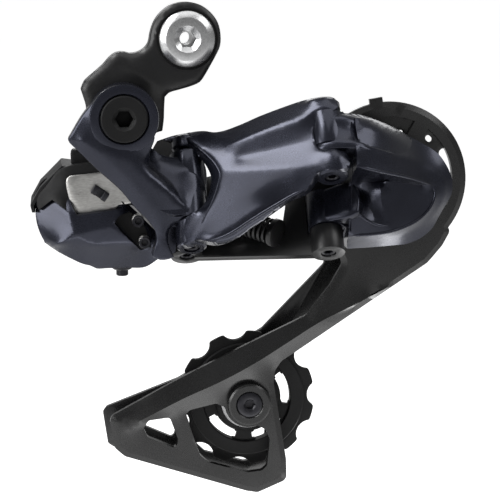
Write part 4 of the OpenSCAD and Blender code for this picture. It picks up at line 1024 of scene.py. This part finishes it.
eyes = [sleeve("linkEye", pivotFoot + along * linkDir, low, high, radius, 2.5, 0.7)
        for along, low, high, radius in ((0, 0, 9.2, 4.7), (0, 35.2, 39.6, 4.6), (linkLength, 13.7, 21.2, 5.1),
                                         (linkLength, 34.8, 40.6, 4.7))]
linkEdges = [bead("linkEdge", onOuterLink, outerLink[key][low:high], 0.5, sink)
             for key, low, high, sink in (("rim", 1, 9, 0.42), ("lowEdge", 1, 9, 0.5))]
settle(joined("outerLink", [plate, *eyes, *linkEdges]), "outer_link")

# the link pins, with a hexagon socket in each foot
pins = {"outer_pin_rear": (pivotFoot, 0, 0.4, 39.0), "outer_pin_front": (pivotFoot, linkLength, 14.1, 40.8),
        "inner_pin_rear": (innerFoot, 0, 6.4, 33.6), "inner_pin_front": (innerFoot, linkLength, -3.0, 21.6)}
for node, (foot, along, low, high) in pins.items():
    profile = [(0, low + 1.9), (1.3, low + 1.8, 6), (1.3, low + 0.3, 6), (1.65, low), (2.1, low), (2.5, low + 0.4),
               (2.5, high - 0.4), (2.1, high), (0, high)]
    settle(turned(node + "Turned", profile, foot + along * linkDir, pivotAxis, 48), node, "dark_steel")
settle(softCopy("pin_clips", 0.15), "pin_clips")

# the inner link and its spring
settle(softCopy("inner_link", 0.6), "inner_link")
springWay = 0.866 * linkDir - 0.5 * pivotAxis
springFrom = innerFoot + 12.5 * linkDir + 17 * pivotAxis - 4.6 * linkIn
linkCoil = {"turns": 12, "radius": 3.7, "wire": 0.5, "height": 20.6}
settle(coil("linkCoil", springFrom + 0.7 * springWay, springWay, linkIn, linkCoil, "link_spring"), "link_spring")
print("links made")

# the pulley knuckle: a hollowed boss over the cage axle, with a lug to each link
knuckle = {
    "outline": [(50.2, -25.4, -24.6), (52.4, -24.7, -21.6), (55.4, -25.3, -15.5), (58.6, -26.3, -11.5),
                (62.3, -27.6, -10), (68.2, -30.0, -9.5), (73.4, -32.4, -10), (78.2, -35.0, -11), (81.7, -37.6, -12),
                (83.8, -40.5, -12.6), (85.3, -43.5, -13), (86.1, -46.2, -13), (85.9, -50.5, -13),
                (84.8, -52.9, -12.8), (83.9, -54.6, -12.4), (81.9, -58.3, -12.2), (80.0, -61.6, -12.4),
                (77.3, -64.1, -12.6), (74.3, -65.7, -12.9), (70.7, -66.8, -13.2), (67.1, -67.0, -13.6),
                (61.8, -67.2, -14.4), (56.3, -67.4, -15), (51.0, -67.4, -15.8), (50.2, -64.4, -19.2),
                (49.9, -61.8, -23.4), (49.8, -57.5, -24.8), (49.9, -53.8, -25), (50.0, -50.4, -22.6),
                (50.1, -46.6, -21.4), (50.7, -43.6, -23.4), (50.7, -40.8, -27.4), (50.7, -39.2, -31),
                (50.7, -34.6, -32), (50.4, -30, -29.1), (50.2, -27.6, -27.1)],
    "ledge": [(51.4, -38.8, -32.2), (54.3, -39.4, -31.5), (58.8, -40.6, -29.9), (63.4, -41.8, -27.5),
              (68.1, -43.1, -24.6), (72.9, -44.8, -21.4), (77.5, -46.6, -18.5)],
    "ledgeFoot": [(51.2, -45.4, -22), (55.8, -45.2, -20), (59.2, -45.2, -19.6), (63, -44.6, -20.6)],
    "faceTop": [(61.2, -44.7, -21.5), (65.4, -45.3, -20.7), (70.5, -46.0, -19.7), (74.7, -46.7, -18.7)],
    "spine": [(60.4, -46.7, -22), (60.4, -48.6, -22.2), (60.5, -50.5, -22.2), (61.3, -53.5, -22.2),
              (62.4, -56.4, -22.1)],
    "arc": [(50.9, -54, -25), (53.6, -55.5, -24.4), (56.3, -57.3, -23.7), (59.4, -58.7, -22.9), (63.1, -59.2, -22.2)],
    "dish": [(52.8, -47.6, -19.2), (54.6, -49.4, -18.0), (56.2, -52.2, -20.0), (58.2, -55.2, -21.4)],
    "lip": [(78.5, -47.6, -17.7), (79.2, -49.2, -17.9), (79.0, -51.1, -18), (77.8, -53.6, -18.5),
            (75.6, -56.1, -19.1), (72.1, -58.5, -19.9), (68.0, -60.1, -20.7), (64.3, -61.0, -21.8),
            (58.9, -61.6, -22.6), (53.2, -61.8, -23.3), (50.8, -61.8, -23.5)],
    "under": [(50.8, -64.4, -19.8), (58.6, -64.2, -19.2), (66.6, -63.4, -17.6), (73.0, -61.6, -16.2),
              (77.3, -59.2, -15.6), (81.0, -54.9, -15.2), (82.8, -50.6, -15.4), (82.7, -47.0, -15.6),
              (79.9, -43.3, -16.2), (74.0, -39.6, -18), (66.8, -36.7, -22.4), (57.7, -33.6, -28.8),
              (51.4, -31.9, -30.6)],
    "back": -1.2, "spacing": 0.9,
    # the faces that lie flush with each link, in that link's frame
    "upperLug": [(45.3, 21.7, -4.6), (50, 21.5, -4.6), (54, 21.2, -4.0), (58, 20.9, -2.2), (61, 21, 0.6),
                 (62.4, 21.4, 3.0), (61.4, 25, 3.0), (60.8, 28.5, 3.0), (60.2, 32, 3.0), (59.4, 34, 3.0),
                 (57, 34.1, 0.4), (53.6, 34.1, -2.4), (50, 34.1, -3.8), (45.3, 34.2, -4.6)],
    "upperFolds": [[(46.6, 22.9, -5.7), (50, 22.8, -5.5), (54, 22.6, -4.8), (58, 22.4, -3.1), (60.4, 22.5, -0.6)],
                   [(46.6, 32.9, -5.6), (50, 32.8, -5.1), (54, 32.4, -3.9), (57, 31.8, -1.9), (58.8, 31.2, 0.2)]],
    "lowerLug": [(45.3, 5.4, -4.8), (50, 5.3, -5.1), (58, 5.4, -5.4), (60.4, 6.4, -5.0), (61, 11, -5.0),
                 (60.4, 15.6, -5.6), (58, 16.8, -6.0), (50, 17, -5.1), (45.3, 17, -4.8)],
    "lowerFolds": [[(46.5, 6.6, -5.7), (52, 6.5, -5.8), (58.6, 7, -6.0)],
                   [(46.5, 15.8, -5.7), (52, 15.8, -5.8), (58.6, 15.2, -6.4)]],
    # a fuller brow above the ledge, thin behind, that the upper lug runs into
    "brow": [(51.6, -24.2, -23.4), (56.4, -24.7, -20.8), (61.4, -26.3, -17.6), (67.4, -29, -13.4),
             (72.6, -32.2, -10.6), (76, -35.4, -9.6), (75.6, -39.6, -12.4), (66.8, -36.9, -22), (57.7, -33.8, -28.6),
             (52, -32.4, -30.4), (51.5, -30, -29), (51.3, -27, -26.6)],
    "browFold": [(52, -26, -26.2), (56.8, -27, -25.6), (61.6, -28.8, -22.8), (67, -31.6, -18.6), (72, -35, -14.6)],
}
dome = relief("knuckleDome", onSide, knuckle["outline"],
              [knuckle[key] for key in ("ledge", "ledgeFoot", "faceTop", "spine", "arc", "dish", "lip", "under")],
              back=knuckle["back"], spacing=knuckle["spacing"], width=0.3, sharp=30, soft=0)
brow = relief("knuckleBrow", onSide, knuckle["brow"], [knuckle["browFold"]], back=-8.5, spacing=0.9, width=0.3,
              sharp=60, soft=4)
lugForm = {"spacing": 0.8, "width": 0.4, "sharp": 60, "soft": 4}
upperLug = relief("upperLug", onOuterLink, knuckle["upperLug"], knuckle["upperFolds"], back=3.2, **lugForm)
lowerLug = relief("lowerLug", onInnerLink, knuckle["lowerLug"], knuckle["lowerFolds"], back=1.0, **lugForm)
rear = softCopy("pulley_knuckle", 0.5, [((0, -1.6, 0), (0, -1, 0))])
lugs = softCopy("pulley_knuckle", 0.6, [((50.6, 0, 0), (1, 0, 0)), ((0, -1.8, 0), (0, 1, 0))])
edges = [bead("knuckleEdge", onSide, knuckle[key], 0.55, 0.08) for key in ("ledge", "lip", "arc")]
settle(joined("pulleyKnuckle", [dome, brow, upperLug, lowerLug, rear, lugs, *edges]), "pulley_knuckle")
print("knuckle made")

# the cage: two thin plates with a long crease, bolted through the pulleys
cage = {"crease": [(-20.7, -130.6, 2.6), (-12.6, -126.4, 2.1), (-1.4, -120.8, 1.8), (12.5, -114.7, 1.7),
                   (23.7, -108.8, 1.7), (35.0, -101.8, 1.7), (45.2, -95.5, 1.7), (55.4, -90.6, 1.8),
                   (63.0, -87.0, 2.2), (68.4, -84.4, 2.8)],
        "front": 3.0, "back": 5.6, "spacing": 1.6, "drop": 0.9, "holeDrop": 0.15, "chamfer": 1.9, "bevel": 0.2}
outer = chamferedPlate("outerCage", "outer_plate", cage)
cageBoss = [(2.5, 5.5), (2.5, 3.0), (4.45, 3.0), (4.45, 1.3), (4.75, 1.0), (6.6, 1.0), (7.2, 1.4), (7.4, 2.0),
            (7.4, 5.5)]
boss = turned("cageBoss", cageBoss, onSide(*tensionAt, 0), toInboard, 72, True)
# thin web inside the ring, with its slots
ringWeb = {"rim": 22.6, "inner": 13.5, "front": 4.5, "back": 5.4,
           "slots": [(0, 30, 19.2, 22.4), (-34, -9, 19.2, 22.4), (42, 49.5, 18.5, 20.4), (73, 80, 15.6, 17.4)]}


def buildWeb(size):
    loops = [[around(cageAt, size["rim"], degrees) for degrees in range(0, 360, 5)],
             [around(cageAt, size["inner"], degrees) for degrees in range(0, 360, 8)]]
    lobe = np.radians(np.linspace(-90, 90, 7))
    # each slot from one angle to another, between two radii, with round ends
    for low, high, near, far in size["slots"]:
        half, middle = (far - near) / 2, (far + near) / 2
        reach = min(math.degrees(half / middle), (high - low) * 0.45)
        loops.append([around(cageAt, middle - way * half * math.sin(a), end + way * reach * math.cos(a))
                      for end, way in ((high - reach, 1), (low + reach, -1)) for a in lobe])
    rim, *holes = [atDepth(loop, size["front"]) for loop in loops]
    return relief("ringWeb", onSide, rim, holes=holes, back=size["back"], spacing=1.4, width=0.2)


settle(joined("outerCage", [outer, boss, buildWeb(ringWeb)]), "outer_plate")
settle(softCopy("inner_plate", 0.4), "inner_plate")


def pulleyBolt(name, node, at, capY, endY):
    way = toInboard if capY < endY else -toInboard
    length = abs(endY - capY)
    profile = [(0, 2.1), (1.5, 2.0, 6), (1.5, 0.55, 6), (2.1, 0.05), (2.25, 0), (3.7, 0), (4.2, 0.2), (4.4, 0.6),
               (4.4, 2.0), (2.5, 2.0), (2.5, length - 0.3), (2.2, length), (0, length)]
    settle(turned(name, profile, onSide(*at, capY), way, 64), node)


pulleyBolt("guideBolt", "guide_bolt", guideAt, 20.4, 3.4)
pulleyBolt("tensionBolt", "tension_bolt", tensionAt, 1.0, 19.0)
print("cage made")

# the two pulleys: a toothed rim, five spokes and a hub round a sealed bearing
wheel = {"teeth": 11, "spokes": 5, "tip": 23.6, "valley": 21.0, "cut": 4.7, "rim": 15.0, "flange": 19.8, "hub": 10.8,
         "bore": 7.0, "half": 1.2, "flangeHalf": 2.1, "hubHalf": 3.4, "chainY": 11.0, "turn": 1.6, "spokeTurn": 14.0,
         "halfWindow": 24.0, "tipFlat": 0.72, "tipDrop": 0.5, "tipThin": 0.5, "webThin": 0.12}


def sectorMesh(name, rows, columns, height, open=()):
    # a wedge with its two faces, its inner and outer walls and the walls round missing cells
    work = bmesh.new()
    verts = {}
    for i, (angle, radii) in enumerate(rows):
        for j, radius in enumerate(radii):
            for side in (-1, 1):
                verts[i, j, side] = work.verts.new((radius * math.cos(angle) * mm, radius * math.sin(angle) * mm,
                                                    side * height(radius) * mm))
    cells = {(i, j) for i in range(len(rows) - 1) for j in range(columns)} - set(open)
    for i, j in cells:
        work.faces.new([verts[i, j, 1], verts[i, j + 1, 1], verts[i + 1, j + 1, 1], verts[i + 1, j, 1]])
        work.faces.new([verts[i, j, -1], verts[i + 1, j, -1], verts[i + 1, j + 1, -1], verts[i, j + 1, -1]])
        for (di, dj), (a, b) in {(0, -1): ((i, j), (i + 1, j)), (0, 1): ((i + 1, j + 1), (i, j + 1)),
                                 (-1, 0): ((i, j + 1), (i, j)), (1, 0): ((i + 1, j), (i + 1, j + 1))}.items():
            beside = (i + di, j + dj)
            if beside in cells or beside[0] < 0 or beside[0] >= len(rows) - 1:
                continue
            work.faces.new([verts[(*a, -1)], verts[(*b, -1)], verts[(*b, 1)], verts[(*a, 1)]][::-1])
    return meshOf(name, work, False)


def mirrored(side):
    # a lathe profile from one half, which runs outwards, and its mirror image
    return [(radius, -along) for radius, along in side] + side[::-1]


def toothReach(angle, size):
    # the rim's radius at an angle from a valley's middle
    centreR = size["valley"] + size["cut"]
    inside = size["cut"]**2 - (centreR * math.sin(angle))**2
    if inside <= 0:
        return size["tip"]
    return min(size["tip"], centreR * math.cos(angle) - math.sqrt(inside))


def buildWheel(name, node, at, size):
    half = math.pi / size["teeth"]
    rows = []
    for angle in np.linspace(-half, half, 25):
        reach = toothReach(angle, size)
        if reach >= size["tip"]:
            reach -= size["tipDrop"] * max(0.0, size["tipFlat"] - abs(angle) / half)
        radii = [size["flange"] - 0.6, size["flange"] + 0.2, size["valley"] - 0.5, reach - 0.45, reach]
        rows.append((angle + math.radians(size["turn"]), radii))

    def thinned(radius):
        # half the thickness, less towards the tips
        past = (radius - size["valley"]) / (size["tip"] - size["valley"])
        return size["half"] - size["tipThin"] * max(0.0, min(1.0, past))

    finish = finishes[slotOf[node]]
    place = frameMatrix(onSide(*at, size["chainY"]), forward, Vector((0, 0, 1)), -toInboard)
    tooth = sectorMesh(name + "Tooth", rows, 4, thinned)
    teeth = roundTree.grow(name + "Teeth", tooth, place, Count=size["teeth"], Finish=finish)
    reach = math.pi / size["spokes"]
    window = math.radians(size["halfWindow"])
    angles = np.concatenate([np.linspace(-reach, -window, 4), np.linspace(-window, window, 13)[1:-1],
                             np.linspace(window, reach, 4)])
    radii = [size["hub"] - 0.4, size["hub"] + 1.0, size["hub"] + 1.5, size["rim"] - 0.5, size["rim"] + 0.4]
    webRows = [(angle + math.radians(size["spokeTurn"]), radii) for angle in angles]
    missing = [(i, j) for i in range(3, len(angles) - 4) for j in (1, 2, 3)]
    missing = [cell for cell in missing if not (cell[1] in (1, 3) and cell[0] in (3, len(angles) - 5))]
    spoke = sectorMesh(name + "Spoke", webRows, 4, lambda radius: size["half"] - size["webThin"], missing)
    web = roundTree.grow(name + "Web", spoke, place, Count=size["spokes"], Finish=finish)
    middle = onSide(*at, size["chainY"])
    hubSide = [(size["bore"], size["hubHalf"]), (size["hub"] - 0.5, size["hubHalf"]),
               (size["hub"], size["hubHalf"] - 0.5)]
    hub = turned(name + "Hub", mirrored(hubSide), middle, toInboard, 72, True)
    flangeSide = [(size["rim"], size["flangeHalf"] - 0.3), (size["rim"] + 0.3, size["flangeHalf"]),
                  (size["flange"] - 0.4, size["flangeHalf"]), (size["flange"], size["flangeHalf"] - 0.4)]
    flange = turned(name + "Flange", mirrored(flangeSide), middle, toInboard, 110, True)
    settle(joined(name, [soften(teeth, 0.18), soften(web, 0.25), hub, flange]), node)


def buildBearing(name, node, at, size):
    races = [(2.6, 2.5), (4.1, 2.5), (4.3, 2.2), (5.9, 2.2), (6.1, 2.5), (7.0, 2.5)]
    settle(turned(name, mirrored(races), onSide(*at, size["chainY"]), toInboard, 64, True), node)


def buildCaps(name, node, at, size):
    near = [(2.5, 5.6), (8.9, 5.6), (9.2, 5.9), (9.2, 6.9), (8.8, 7.3), (6.4, 7.3), (6.4, 7.8), (6.0, 8.2), (2.5, 8.2)]
    far = [(radius, 2 * size["chainY"] - along) for radius, along in reversed(near)]
    near = turned(name + "Near", near, onSide(*at, 0), toInboard, 72, True)
    far = turned(name + "Far", far, onSide(*at, 0), toInboard, 72, True)
    settle(joined(name, [near, far]), node)


for label, at in (("guide", guideAt), ("tension", tensionAt)):
    buildWheel(label + "Wheel", label + "_pulley", at, wheel)
    buildBearing(label + "Bearing", label + "_bearing", at, wheel)
    buildCaps(label + "Caps", label + "_caps", at, wheel)
print("pulleys made")

# the torsion spring hidden in the knuckle
cageCoil = {"turns": 4, "radius": 7.7, "wire": 1.0, "height": 8.3, "fromY": -8.8}
settle(coil("cageCoil", onSide(*cageAt, cageCoil["fromY"]), toInboard, forward, cageCoil, "cage_spring"),
       "cage_spring")
for name, nodeObject in frame["nodes"].items():
    if name in replaced:
        continue
    for slot in nodeObject.material_slots:
        slot.material = finishes[slotOf[name]]
print("pieces standing for nodes:", len(replaced))
